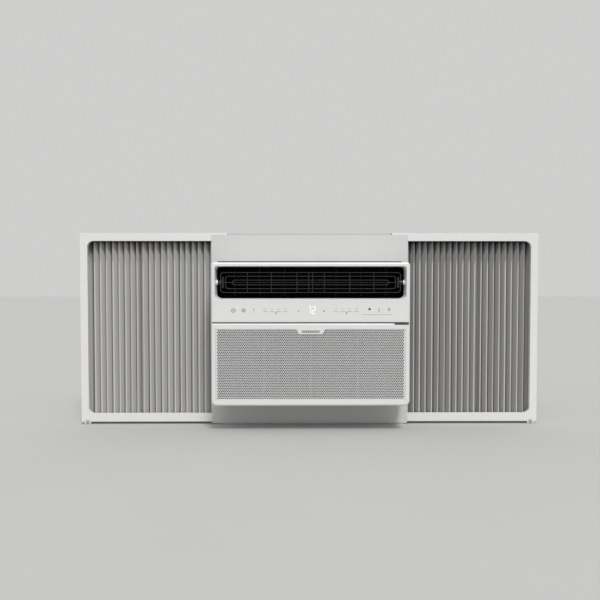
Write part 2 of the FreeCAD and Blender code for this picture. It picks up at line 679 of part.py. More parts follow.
def make_intake_grille():
    """The lower front panel, which tips forward on two hinges at its bottom edge."""
    body = new_body("IntakeGrille")
    top = "panel_high"
    outline = [("-front_half", "front_low"), ("front_half", "front_low"),
               ("front_half", top), ("-front_half", top)]
    pad(body, polygon(body, "XZ_Plane", "-panel_back", outline), "panel_back - front_face")
    DOC.recompute()
    corners = round_body(body, "low_round", lambda e: runs_along(e, 1)
                         and e.CenterOfMass.z < size("mesh_low"))
    face = size("front_face")
    round_body(body, "edge_round", lambda e: abs(e.BoundBox.YMin - face) < 0.01
               and abs(e.BoundBox.YMax - face) < 0.01
               and e.CenterOfMass.z < size("panel_high") - 1, corners)
    bevel = [
        ("front_face - 1", "panel_high + 1"), ("front_face - 1", "panel_high - bevel_high"),
        ("front_face", "panel_high - bevel_high"), ("front_face + bevel_deep", "panel_high"),
        ("front_face + bevel_deep", "panel_high + 1"),
    ]
    through(body, polygon(body, "YZ_Plane", "0", bevel))
    window = [
        ("-mesh_half", "mesh_low"), ("mesh_half", "mesh_low"), ("mesh_half", "mesh_high"),
        ("tab_top", "mesh_high"), ("tab_bottom", "mesh_high - badge_drop"),
        ("-tab_bottom", "mesh_high - badge_drop"), ("-tab_top", "mesh_high"),
        ("-mesh_half", "mesh_high"),
    ]
    through(body, polygon(body, "XZ_Plane", "0", window))
    hollow = box(("-(front_half - panel_skin)", "front_half - panel_skin"),
                 ("front_face + panel_skin", "panel_back + 1"), ("mesh_low", "panel_high - panel_skin"))
    recesses = at_both_sides(lambda side: box(
        span(side, "ear_x - 2", "ear_x + ear_wide + 2"), ("front_face + panel_skin", "panel_back + 1"),
        ("front_low - 1", "hinge_z + ear_r + 1.5")))
    notch = box(("notch_x", "notch_x + notch_wide"), ("front_face - 1", "front_face + notch_deep"),
                ("notch_z", "panel_high + 1"))
    pins = at_both_sides(lambda side: rod(
        "x", (span(side, "ear_x + 0.5", "ear_x + ear_wide + 3")[0], "hinge_y", "hinge_z"),
        "ear_wide + 2.5", "hinge_pin"))
    hooks = at_both_sides(lambda side: box(
        span(side, "hook_in", "hook_out"), ("front_face + 1", "filter_front - 1"),
        ("hook_low", "hook_high")))
    node("intake_grille", join(cut(body, hollow, *recesses, notch), *pins, *hooks))


def round_body(body, radius, choose, base=None):
    """A fillet on the body's own edges that choose(edge) accepts."""
    DOC.recompute()
    base = base or body.Tip
    names = [f"Edge{index}" for index, edge in enumerate(base.Shape.Edges, 1) if choose(edge)]
    feature = body.newObject("PartDesign::Fillet", "Fillet")
    feature.Base = (base, names)
    bind(feature, "Radius", radius)
    DOC.recompute()
    return feature


def make_intake_mesh():
    """The perforated sheet in the grille's window, drawn here without its fine holes."""
    gap = "0.2"
    outline = [
        (f"-(mesh_half - {gap})", f"mesh_low + {gap}"), (f"mesh_half - {gap}", f"mesh_low + {gap}"),
        (f"mesh_half - {gap}", f"mesh_high - {gap}"), (f"tab_top + {gap}", f"mesh_high - {gap}"),
        (f"tab_bottom + {gap}", f"mesh_high - badge_drop - {gap}"),
        (f"-(tab_bottom + {gap})", f"mesh_high - badge_drop - {gap}"),
        (f"-(tab_top + {gap})", f"mesh_high - {gap}"), (f"-(mesh_half - {gap})", f"mesh_high - {gap}"),
    ]
    node("intake_mesh", bar_of("IntakeMesh", "XZ_Plane", "-(front_face + 1.2 + mesh_thick)",
                               outline, "mesh_thick"))


def make_badge_plate():
    """A small blank plate on the tab at the top of the grille's window."""
    node("badge_plate", box(("-badge_half", "badge_half"),
                            ("front_face - badge_proud", "front_face"),
                            ("badge_low", "badge_high")))


def make_filter():
    """The washable filter: a framed screen that slides out of the right side."""
    thick = ("filter_front", "filter_front + filter_thick")
    rim = box(("filter_left", "filter_right"), thick, ("filter_low", "filter_high"))
    windows = []
    for column in range(4):
        left = f"filter_left + filter_bar + {column} * (filter_right - filter_left - filter_bar) / 4"
        for row in range(2):
            low = f"filter_low + filter_bar + {row} * (filter_high - filter_low - filter_bar) / 2"
            windows.append(box(
                (left, f"{left} + (filter_right - filter_left - filter_bar) / 4 - filter_bar"),
                ("filter_front - 1", "filter_front + filter_thick + 1"),
                (low, f"{low} + (filter_high - filter_low - filter_bar) / 2 - filter_bar")))
    node("filter_frame", cut(rim, *windows))
    node("filter_handle", box(("filter_right", "front_half - 0.2"),
                              ("filter_front + 0.8", "filter_front + filter_thick - 0.8"),
                              ("handle_low", "handle_high")))
    middle = "filter_front + filter_thick / 2"
    node("filter_screen", box(
        ("filter_left + 2", "filter_right - 2"),
        (f"{middle} - screen_thick / 2", f"{middle} + screen_thick / 2"),
        ("filter_low + 2", "filter_high - 2")))


# ---------------------------------------------------------------- air outlet


def vane_places(side):
    return [f"{side} * (vane_first + {index} * vane_pitch)" for index in range(3)]


def make_outlet_duct():
    """The square duct from the scroll to the outlet, with pivot holes for the vanes."""
    outer = box(("-duct_half", "duct_half"), ("sleeve_back + 0.5", "duct_back"),
                ("outlet_low", "outlet_high"))
    inner = box(("-(duct_half - duct_wall)", "duct_half - duct_wall"),
                ("sleeve_back - 1", "duct_back + 1"),
                ("outlet_low + duct_wall", "outlet_high - duct_wall"))
    holes = [rod("z", (x, "vane_y", "outlet_low - 1"), "outlet_high - outlet_low + 2",
                 "vane_pin + running_gap") for side in (1, -1) for x in vane_places(side)]
    node("outlet_duct", cut(cut(outer, inner), *holes))


def rounded_bar(high, long, radius, start, deep):
    """A flat bar with rounded corners, lying along X around the louver's axis."""
    block = box((f"-({long})", long), (start, f"{start} + {deep}"),
                (f"louver_z - ({high})", f"louver_z + {high}"))
    return rounded(block, radius, lambda e: runs_along(e, 1))


def louver_ring(number):
    """One closed ring of the louver, number 1 the outermost."""
    front = "louver_y - louver_deep / 2"
    high, long = f"ring_{number}_high", f"ring_{number}_long"
    radius = size(f"ring_{number}_round")
    outside = rounded_bar(high, long, radius, front, "louver_deep")
    inside = rounded_bar(f"{high} - ring_thick", f"{long} - ring_thick", radius - size("ring_thick"),
                         f"{front} - 1", "louver_deep + 2")
    return cut(outside, inside)


def louver_rib(side, place):
    """An upright rib that ties the louver's rings together."""
    x = f"{side} * {place}"
    return box((f"{x} - ring_thick / 2", f"{x} + ring_thick / 2"),
               ("louver_y - louver_deep / 2 + 2", "louver_y + louver_deep / 2 - 2"),
               ("louver_z - ring_1_high + 0.5", "louver_z + ring_1_high - 0.5"))


def louver_end(side):
    """The upright knob, the boss and the pivot pin at one end of the louver."""
    knob = rod("z", (f"{side} * knob_x", "louver_y - 3", "louver_z - knob_half"),
               "2 * knob_half", "knob_r")
    boss = rod("x", (span(side, "boss_in", "boss_out")[0], "louver_y", "louver_z"),
               "boss_out - boss_in", "boss_r")
    pin = rod("x", (span(side, "boss_out - 1", "outlet_half - 1")[0], "louver_y", "louver_z"),
              "outlet_half - boss_out", "louver_pin")
    return join(knob, boss, pin)


def make_louver():
    """The tilting louver: nested rings tied by upright ribs, on a pin at each end."""
    rings = [louver_ring(number) for number in (1, 2, 3)]
    ribs = [louver_rib(side, f"rib_{number}") for side in (1, -1) for number in (1, 2, 3, 4)]
    spine = box(("-boss_in - 0.8", "boss_in + 0.8"), ("louver_y - 3", "louver_y + 3"),
                ("louver_z - ring_thick / 2", "louver_z + ring_thick / 2"))
    ends = at_both_sides(louver_end)
    node("louver_frame", join(*rings, *ribs, spine, *ends))


def make_vane(name, x):
    """An upright blade on two pivot pins, with a crank pin in its lower rear notch."""
    front = "vane_y - vane_deep / 2"
    back = "vane_y + vane_deep / 2"
    notch_y = "vane_y + crank - 6"
    notch_top = "link_low + link_thick + 5"
    outline = [(front, "blade_low"), (notch_y, "blade_low"), (notch_y, notch_top),
               (back, notch_top), (back, "blade_high"), (front, "blade_high")]
    blade = bar_of("Vane", "YZ_Plane", f"{x} - vane_thick / 2", outline, "vane_thick")
    low_pin = rod("z", (x, "vane_y", "outlet_low + 0.4"), "blade_low - outlet_low", "vane_pin")
    high_pin = rod("z", (x, "vane_y", "blade_high - 0.4"), "outlet_high - blade_high", "vane_pin")
    crank_pin = rod("z", (x, "vane_y + crank", "link_low - 1"), "link_thick + 6.5", "crank_pin")
    node(name, join(blade, low_pin, high_pin, crank_pin))


def make_link(name, side):
    """The bar that ties one bank's crank pins together, with a slot for each pin."""
    middle = "vane_y + crank"
    high = "link_low + link_thick"
    bar = box(span(side, "vane_first - 8", "vane_first + 2 * vane_pitch + 8"),
              (f"{middle} - 5.5", f"{middle} + 4.5"), ("link_low", high))
    slots = [box((f"{x} - crank_pin - 0.5", f"{x} + crank_pin + 0.5"),
                 (f"{middle} - crank_pin - 1.8", f"{middle} + crank_pin + 0.5"),
                 ("link_low - 1", f"{high} + 1")) for x in vane_places(side)]
    node(name, cut(bar, *slots))


def make_vane_banks():
    for word, side in (("right", 1), ("left", -1)):
        for index, x in enumerate(vane_places(side), 1):
            make_vane(f"{word}_vane_{index}", x)
        make_link(f"{word}_vane_link", side)


# ---------------------------------------------------------------- fans and air side


def scroll_outline(name, start, deep):
    """A slab of the scroll's outer form."""
    outline = [
        ("-scroll_half", "cab_low + 2"), ("bay_x", "cab_low + 2"), ("bay_x", "bay_z"),
        ("scroll_half", "bay_z"), ("scroll_half", "scroll_top"), ("-scroll_half", "scroll_top"),
    ]
    return bar_of(name, "XZ_Plane", f"-({start} + {deep})", outline, deep)


def make_scroll_cover():
    """The foam plate in front of the blower, with its inlet and the duct's mouth."""
    inlet = rod("y", ("shaft_x", "scroll_front - 1", "shaft_z"), "scroll_wall + 2", "inlet_r")
    mouth = box(("-(scroll_half - scroll_wall)", "scroll_half - scroll_wall"),
                ("scroll_front - 1", "scroll_front + scroll_wall + 1"), ("bay_z + 7", "scroll_top - 3"))
    node("scroll_cover", cut(scroll_outline("ScrollCover", "scroll_front", "scroll_wall"),
                             inlet, mouth))


def make_blower_scroll():
    """The foam housing round the blower wheel, opening upwards and forwards into the duct."""
    start = "scroll_front + scroll_wall"
    deep = "scroll_back - scroll_front - scroll_wall"
    block = scroll_outline("BlowerScroll", start, deep)
    throat = [
        ("shaft_x - volute_r", "shaft_z"), ("shaft_x + volute_r", "shaft_z"),
        ("shaft_x + volute_r", "bay_z - 26"), ("scroll_half - scroll_wall", "bay_z + 7"),
        ("scroll_half - scroll_wall", "scroll_top - 3"),
        ("-(scroll_half - scroll_wall)", "scroll_top - 3"),
        ("-(scroll_half - scroll_wall)", "bay_z + 7"), ("shaft_x - volute_r", "bay_z - 26"),
    ]
    air_deep = "scroll_back - scroll_wall - scroll_front"
    air = bar_of("Throat", "XZ_Plane", "-(scroll_back - scroll_wall)", throat, air_deep)
    volute = rod("y", ("shaft_x", "scroll_front", "shaft_z"), air_deep, "volute_r")
    shaft_hole = rod("y", ("shaft_x", "scroll_back - 5", "shaft_z"), "6", "shaft_r * 3.5")
    node("blower_scroll", cut(block, air, volute, shaft_hole))


def on_shaft(item):
    bind(item, "Placement.Base.x", "shaft_x")
    bind(item, "Placement.Base.z", "shaft_z")
    return item


def polar(body, feature, count):
    """Repeat a feature about the body's Y axis."""
    pattern = body.newObject("PartDesign::PolarPattern", "Ring")
    pattern.Originals = [feature]
    pattern.Axis = (origin_plane(body, "Y_Axis"), [""])
    pattern.Angle = 360
    bind(pattern, "Occurrences", count)
    body.Tip = pattern
    return pattern


def disc(body, level, radius, thick):
    """A round plate in the body, across Y, from a level towards -Y."""
    sketch = body.newObject("Sketcher::SketchObject", "Circle")
    sketch.AttachmentSupport = [(origin_plane(body, "XZ_Plane"), "")]
    sketch.MapMode = "FlatFace"
    bind(sketch, "AttachmentOffset.Base.z", f"-({level})")
    sketch.addGeometry(Part.Circle(Vector(), Vector(0, 0, 1), 10), False)
    sketch.addConstraint(Sketcher.Constraint("Coincident", 0, 3, -1, 1))
    number = sketch.addConstraint(Sketcher.Constraint("Radius", 0, 10))
    bind(sketch, f"Constraints[{number}]", radius)
    return pad(body, sketch, thick)


def make_blower_wheel():
    """A centrifugal wheel: a back plate, a ring of blades and a front ring."""
    body = new_body("BlowerWheel")
    disc(body, "wheel_back", "wheel_r", "1.5")
    disc(body, "wheel_back", "shaft_r * 3", "26")
    root = "wheel_r - 16"
    outline = [(root, "-1"), ("wheel_r - 2", "8"), ("wheel_r - 2", "10"), (root, "1")]
    blade = pad(body, polygon(body, "XZ_Plane", "-wheel_back", outline), "wheel_back - wheel_front")
    polar(body, blade, "blade_count")
    on_shaft(body)
    rim = cut(rod("y", ("shaft_x", "wheel_front", "shaft_z"), "3", "wheel_r"),
              rod("y", ("shaft_x", "wheel_front - 1", "shaft_z"), "5", f"{root} + 3"))
    bore = rod("y", ("shaft_x", "wheel_front - 20", "shaft_z"), "100", "shaft_r")
    node("blower_wheel", cut(join(body, rim), bore))


def make_condenser_fan():
    """An axial fan with slanted blades and a slinger ring round their tips."""
    body = new_body("CondenserFan")
    disc(body, "fan_back", "hub_r", "fan_back - fan_front")
    middle = "(fan_front + fan_back) / 2"
    outline = [(f"{middle} - 13", "-24"), (f"{middle} - 10.5", "-24"),
               (f"{middle} + 13", "24"), (f"{middle} + 10.5", "24")]
    blade = pad(body, polygon(body, "YZ_Plane", "hub_r * 0.8", outline), "fan_r - hub_r * 0.8 + 1")
    polar(body, blade, "fan_blades")
    on_shaft(body)
    tip_ring = cut(rod("y", ("shaft_x", "fan_back - 12", "shaft_z"), "10", "fan_r + 4"),
                   rod("y", ("shaft_x", "fan_back - 13", "shaft_z"), "12", "fan_r + 0.5"))
    bore = rod("y", ("shaft_x", "fan_front - 5", "shaft_z"), "50", "shaft_r")
    node("condenser_fan", cut(join(body, tip_ring), bore))


def make_motor():
    """The double-shaft motor, its shaft and its stand."""
    can = rod("y", ("shaft_x", "motor_front", "shaft_z"), "motor_back - motor_front", "motor_r")
    soft = rounded(can, "low_round", lambda e: e.Curve.TypeId == "Part::GeomCircle")
    boss = rod("y", ("shaft_x", "motor_front - 8", "shaft_z"), "motor_back - motor_front + 16", "18")
    bore = rod("y", ("shaft_x", "motor_front - 10", "shaft_z"), "motor_back - motor_front + 20",
               "shaft_r + running_gap")
    node("fan_motor", cut(join(soft, boss), bore))
    node("motor_shaft", rod("y", ("shaft_x", "shaft_front", "shaft_z"),
                            "shaft_back - shaft_front", "shaft_r"))
    floor = "cab_low + sheet + 0.1"
    stand = box(("shaft_x - stand_half", "shaft_x + stand_half"), ("stand_front", "stand_back"),
                (floor, "shaft_z - motor_r + 4 * stand_wall"))
    inside = "stand_half - stand_wall"
    hollow = box((f"shaft_x - ({inside})", f"shaft_x + {inside}"),
                 ("stand_front + stand_wall", "stand_back + 1"),
                 (f"{floor} + stand_wall", "shaft_z - motor_r - stand_wall"))
    saddle = rod("y", ("shaft_x", "stand_front - 5", "shaft_z"), "stand_back - stand_front + 10",
                 "motor_r + running_gap")
    plate = box(("shaft_x - stand_plate", "shaft_x + stand_plate"),
                ("stand_front - 5", "stand_back + 5"), (floor, f"{floor} + rail_steel"))
    node("motor_bracket", cut(join(stand, plate), hollow, saddle))


def make_fan_shroud():
    """The panel with a round orifice that the condenser fan turns in."""
    panel = box(("-(cab_half - 4)", "cab_half - 4"), ("shroud_y", "shroud_y + 2"),
                ("cab_low + 2", "cab_high - 3"))
    lip = rod("y", ("shaft_x", "shroud_y - 8", "shaft_z"), "10", "shroud_hole + 2")
    hole = rod("y", ("shaft_x", "shroud_y - 10", "shaft_z"), "20", "shroud_hole")
    pipe_holes = [rod("y", place, "8", radius) for place, radius in (
        (("discharge_x", "shroud_y - 3", "discharge_z"), "pipe_r * 1.6"),
        (("drier_x", "shroud_y - 3", "capillary_high"), "pipe_r"))]
    node("fan_shroud", cut(join(panel, lip), hole, *pipe_holes))


# ---------------------------------------------------------------- refrigerant circuit


def make_fins(name, prefix):
    """A pack of thin upright fins, joined by a thin web along their back."""
    left, right, front, back, low, high = (
        size(f"{prefix}_{word}") for word in ("left", "right", "front", "back", "low", "high"))
    pitch = size("fin_pitch")
    thick = size("fin_thick")
    web = back - size("fin_web")
    count = int((right - left) / pitch)
    profile = [(left, back)]
    for index in range(count + 1):
        start = left + index * pitch
        if index:
            profile.append((start, web))
        profile += [(start, front), (start + thick, front), (start + thick, web)]
    profile.append((left + count * pitch + thick, back))
    points = [Vector(x, y, low) for x, y in profile]
    face = Part.Face(Part.makePolygon(points + points[:1]))
    node(name, solid_of("Fins", face.extrude(Vector(0, 0, high - low))))


def make_serpentine(name, prefix):
    """One tube that runs back and forth through a fin pack, with half-round bends."""
    passes = int(size(f"{prefix}_passes"))
    left = size(f"{prefix}_left") - size("tube_out")
    right = size(f"{prefix}_right") + size("tube_out")
    depth = middle_of(prefix)
    low = size(f"{prefix}_low")
    step = pass_step(prefix)
    radius = step / 2
    edges = []
    for index in range(passes):
        height = low + step * (index + 0.5)
        here, there = (right, left) if index % 2 == 0 else (left, right)
        end = Vector(there, depth, height)
        edges.append(Part.LineSegment(Vector(here, depth, height), end).toShape())
        if index < passes - 1:
            out = -radius if there == left else radius
            bulge = Vector(there + out, depth, height + radius)
            edges.append(Part.Arc(end, bulge, Vector(there, depth, height + step)).toShape())
    node(name, solid_of("Tubes", tube_along(Part.Wire(edges), size("tube_r"))))


def middle_of(prefix):
    """The depth of a coil's middle plane."""
    return (size(f"{prefix}_front") + size(f"{prefix}_back")) / 2


def pass_step(prefix):
    """The height from one tube pass of a coil to the next."""
    return (size(f"{prefix}_high") - size(f"{prefix}_low")) / size(f"{prefix}_passes")


def make_coils():
    """The evaporator and the condenser, each a fin pack with one long tube."""
    for word, prefix in (("evaporator", "evap"), ("condenser", "cond")):
        make_fins(f"{word}_fins", prefix)
        make_serpentine(f"{word}_tubes", prefix)


def make_drain_tray():
    """The tray that catches the evaporator's drips."""
    low = "cab_low + sheet + 0.2"
    outer = box(("evap_left - 14", "evap_right + 14"), ("evap_front - 4", "scroll_front - 4"),
                (low, "evap_low + 8"))
    inner = box(("evap_left - 12", "evap_right + 12"), ("evap_front - 2", "scroll_front - 6"),
                (f"{low} + 2", "evap_low + 9"))
    node("drain_tray", cut(outer, inner))


def foot_places():
    reach = "(foot_half - bolt_inset)"
    return [(f"comp_x + {x} * {reach}", f"comp_y + {y} * {reach}")
            for x in (1, -1) for y in (1, -1)]


def make_compressor():
    """The sealed compressor on its foot plate, with rubber grommets and nuts."""
    can = rod("z", ("comp_x", "comp_y", "comp_low"), "comp_high - comp_low", "comp_r")
    soft = rounded(can, "comp_dome", lambda e: e.Curve.TypeId == "Part::GeomCircle")
    plate = box(("comp_x - foot_half", "comp_x + foot_half"),
                ("comp_y - foot_half", "comp_y + foot_half"), ("comp_low", "comp_low + foot_thick"))
    corners = rounded(plate, "low_round", lambda e: runs_along(e, 2))
    holes = [rod("z", (x, y, "comp_low - 1"), "foot_thick + 2", "bolt_r + 1")
             for x, y in foot_places()]
    node("compressor", join(soft, cut(corners, *holes)))


def make_compressor_feet():
    """The four rubber grommets under the compressor's foot plate, and their bolts and nuts."""
    floor = "cab_low + sheet"
    gap = f"comp_low - ({floor})"
    grommets = [cut(rod("z", (x, y, f"{floor} + 0.1"), f"{gap} - 0.1", "grommet_r"),
                    rod("z", (x, y, floor), f"{gap} + 1", "bolt_r + 0.2"))
                for x, y in foot_places()]
    node("compressor_grommets", together(*grommets))
    bolts = [join(rod("z", (x, y, f"{floor} + 0.1"), f"{gap} + foot_thick + 6", "bolt_r"),
                  rod("z", (x, y, "comp_low + foot_thick + 0.1"), "nut_high", "nut_r"))
             for x, y in foot_places()]
    node("compressor_bolts", together(*bolts))


def point(x, y, z):
    """A place from three dimension words or numbers."""
    return tuple(size(part) if part in DIMENSIONS else part for part in (x, y, z))


def pipe(name, route, bend, radius):
    """A round pipe along a route of places, with one bend radius."""
    places = [point(*place) for place in route]
    return solid_of(name, tube_along(bent_path(places, size(bend)), size(radius)))


def suction_pipe():
    """From the evaporator, round the partition and down into the accumulator."""
    depth = middle_of("evap")
    height = size("evap_low") + pass_step("evap") / 2
    return pipe("Suction", [
        (size("evap_right") + size("tube_out"), depth, height),
        ("suction_x", depth, height), ("suction_x", depth + size("suction_drop"), "suction_low"),
        ("suction_x", "suction_y", "suction_low"), ("vessel_x", "suction_y", "suction_low"),
        ("vessel_x", "suction_y", "suction_high"), ("vessel_x", "vessel_y", "suction_high"),
        ("vessel_x", "vessel_y", "vessel_high")], "pipe_bend", "pipe_r")


def discharge_pipe():
    """From the compressor's top to the condenser's uppermost pass."""
    depth = middle_of("cond")
    height = size("cond_high") - pass_step("cond") / 2
    return pipe("Discharge", [
        ("comp_x", "comp_y", "comp_high"), ("comp_x", "comp_y", "discharge_z"),
        ("discharge_x", "comp_y", "discharge_z"), ("discharge_x", depth, "discharge_z"),
        ("discharge_x", depth, height), (size("cond_right") + size("tube_out"), depth, height)],
        "discharge_bend", "tube_r")


def liquid_line():
    """The filter drier, a can with two necks, and the capillary tube brazed to its top."""
    can = rod("z", ("drier_x", "drier_y", "drier_low"), "drier_high - drier_low", "drier_r")
    necks = rod("z", ("drier_x", "drier_y", "drier_low - drier_end + 2"),
                "drier_high - drier_low + 2 * drier_end - 2", "drier_neck")
    top = size("drier_high") + size("drier_end") - 1
    capillary = pipe("Capillary", [
        ("drier_x", "drier_y", top), ("drier_x", "drier_y", "capillary_high"),
        ("drier_x", "capillary_y", "capillary_high"),
        ("capillary_x", "capillary_y", "capillary_low"),
        ("capillary_x", middle_of("evap"), "capillary_low")], "capillary_bend", "capillary_r")
    return join(can, necks, capillary)


def make_refrigerant_line():
    """The accumulator and the copper line between the sealed pieces."""
    node("refrigerant_pipes", together(suction_pipe(), discharge_pipe(), liquid_line()))
    can = rod("z", ("vessel_x", "vessel_y", "vessel_low"), "vessel_high - vessel_low", "vessel_r")
    node("accumulator", rounded(can, "low_round", lambda e: e.Curve.TypeId == "Part::GeomCircle"))


# ---------------------------------------------------------------- electrical pieces


def main_board():
    """The power board in the control box, with its relay and transformer."""
    surface = "ebox_in + 6"
    board = box(("ebox_in + 5", "ebox_in + 5 + board_thick"), ("ebox_front + 4", "ebox_back - 6"),
                ("ebox_low + 8", "ebox_high - 8"))
    relay = box((surface, f"{surface} + 18"), ("relay_front", "relay_back"),
                ("ebox_high - 60", "ebox_high - 40"))
    transformer = box((surface, f"{surface} + 22"), ("coil_front", "coil_back"),
                      ("ebox_high - 66", "ebox_high - 36"))
    return join(board, relay, transformer)


def make_electrics():
    """The steel box in the right-hand bay, the circuit boards and the capacitor."""
    outer = box(("ebox_in", "ebox_out"), ("ebox_front", "ebox_back"), ("ebox_low", "ebox_high"))
    inner = box(("ebox_in + sheet", "ebox_out - sheet"), ("ebox_front - 1", "ebox_back - sheet"),
                ("ebox_low + sheet", "ebox_high - sheet"))
    node("control_box", cut(outer, inner))
    node("circuit_boards", together(main_board(), display_board()))
    node("run_capacitor", rod("z", ("ebox_out - 20", "coil_front", "ebox_low + 2"),
                              "capacitor_long", "capacitor_r"))


def make_cord_gland():
    """The ring in the front's underside that the mains cord leaves through."""
    low = "front_low - 5"
    flange = rod("z", ("gland_x", "gland_y", low), "4.9", "gland_r")
    neck = rod("z", ("gland_x", "gland_y", low), "gland_long", "gland_r - gland_wall")
    bore = rod("z", ("gland_x", "gland_y", f"{low} - 1"), "gland_long + 2", "cord_r")
    node("cord_gland", cut(join(flange, neck), bore))


# ---------------------------------------------------------------- fasteners


def side_screw(side, surface, y, z):
    """A pan-head screw into a side wall, its head outside the surface."""
    head = rod("x", (span(side, surface, f"{surface} + head_thick")[0], y, z), "head_thick", "head_r")
    shank = rod("x", (span(side, f"{surface} - shank_long", f"{surface} + 0.5")[0], y, z),
                "shank_long + 0.5", "shank_r")
    return join(head, shank)


def top_screw(x, y, surface):
    """A pan-head screw straight down, its head on the surface."""
    head = rod("z", (x, y, surface), "head_thick", "head_r")
    shank = rod("z", (x, y, f"{surface} - shank_long"), "shank_long + 0.5", "shank_r")
    return join(head, shank)


def make_case_screws():
    """The thirteen screws of the case: its sides, its top and the front's sides."""
    places = [("cab_half", f"screw_y_{number}", "case_screw_z") for number in (1, 2, 3)]
    places += [("front_half", "front_screw_y", f"front_screw_z_{number}") for number in (1, 2)]
    sides = [side_screw(side, *place) for side in (1, -1) for place in places]
    top = "cab_high + 0.2 + filler_steel + rail_steel"
    tops = [top_screw(f"{x} * flange_half", "web_front + 18", top) for x in (-0.7, 0, 0.7)]
    node("case_screws", together(*sides, *tops))


# ---------------------------------------------------------------- assembly


def build():
    fill_sheet()
    for make in (
            make_support_rail, make_lower_filler, make_upper_filler, make_upper_rail,
            make_side_rails, make_curtain_frames, make_curtains, make_frame_screws,
            make_base_pan, make_cabinet_cover, make_rear_grille, make_partition,
            make_front_bezel, make_front_surround, make_filter_guide, make_outlet_sleeve,
            make_control_overlay, make_intake_grille, make_intake_mesh, make_badge_plate,
            make_filter, make_outlet_duct, make_louver, make_vane_banks, make_scroll_cover,
            make_blower_scroll, make_blower_wheel, make_condenser_fan, make_motor,
            make_fan_shroud, make_drain_tray, make_compressor, make_compressor_feet,
            make_refrigerant_line, make_electrics, make_cord_gland, make_case_screws,
            make_coils):
        make()
    DOC.recompute()


def check():
    """Stop if any object failed, or a sub-part is empty or not valid."""
    for item in DOC.Objects:
        if "Invalid" in item.State or "Error" in item.State:
            raise RuntimeError(f"{item.Label} failed: {item.State}")
    for item in NODES:
        if item.Shape.isNull() or not item.Shape.isValid() or item.Shape.Volume <= 0:
            raise RuntimeError(f"{item.Label} has no valid shape")


def export():
    os.makedirs("parts", exist_ok=True)
    for item in NODES:
        item.Shape.exportStep(os.path.join("parts", f"{item.Label}.step"))


build()
check()
export()
print(len(NODES), "sub-parts written")
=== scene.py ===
"""Looks of the window air conditioner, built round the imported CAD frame.

Metres, in the CAD's own frame: +Z is up, -Y faces the room, +X is to the right.
"""

import json
import math
import random

import bmesh
import bpy
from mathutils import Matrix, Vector


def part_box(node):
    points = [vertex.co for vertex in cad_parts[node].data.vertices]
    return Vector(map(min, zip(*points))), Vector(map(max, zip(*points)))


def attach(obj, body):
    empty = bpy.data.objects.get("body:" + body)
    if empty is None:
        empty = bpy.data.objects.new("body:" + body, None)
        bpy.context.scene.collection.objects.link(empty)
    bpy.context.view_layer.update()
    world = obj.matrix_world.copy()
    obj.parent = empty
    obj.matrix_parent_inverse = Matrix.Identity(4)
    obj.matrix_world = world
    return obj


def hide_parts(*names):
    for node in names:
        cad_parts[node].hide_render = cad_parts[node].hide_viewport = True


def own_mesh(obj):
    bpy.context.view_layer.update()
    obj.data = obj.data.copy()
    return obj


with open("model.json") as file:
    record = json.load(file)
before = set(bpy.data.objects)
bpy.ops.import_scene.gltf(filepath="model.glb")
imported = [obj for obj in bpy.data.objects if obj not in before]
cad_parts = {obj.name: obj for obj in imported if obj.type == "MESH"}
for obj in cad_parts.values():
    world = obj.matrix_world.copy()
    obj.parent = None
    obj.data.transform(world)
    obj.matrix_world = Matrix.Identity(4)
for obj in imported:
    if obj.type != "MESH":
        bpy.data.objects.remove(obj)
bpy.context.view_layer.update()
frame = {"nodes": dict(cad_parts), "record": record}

MM = 0.001
NODE = frame["nodes"]
RECORD = frame["record"]

# The part of a noise's range that a material's colour and gloss follow.
NOISE_LOW, NOISE_HIGH = 0.3, 0.7


# ---------------------------------------------------------------- material helpers


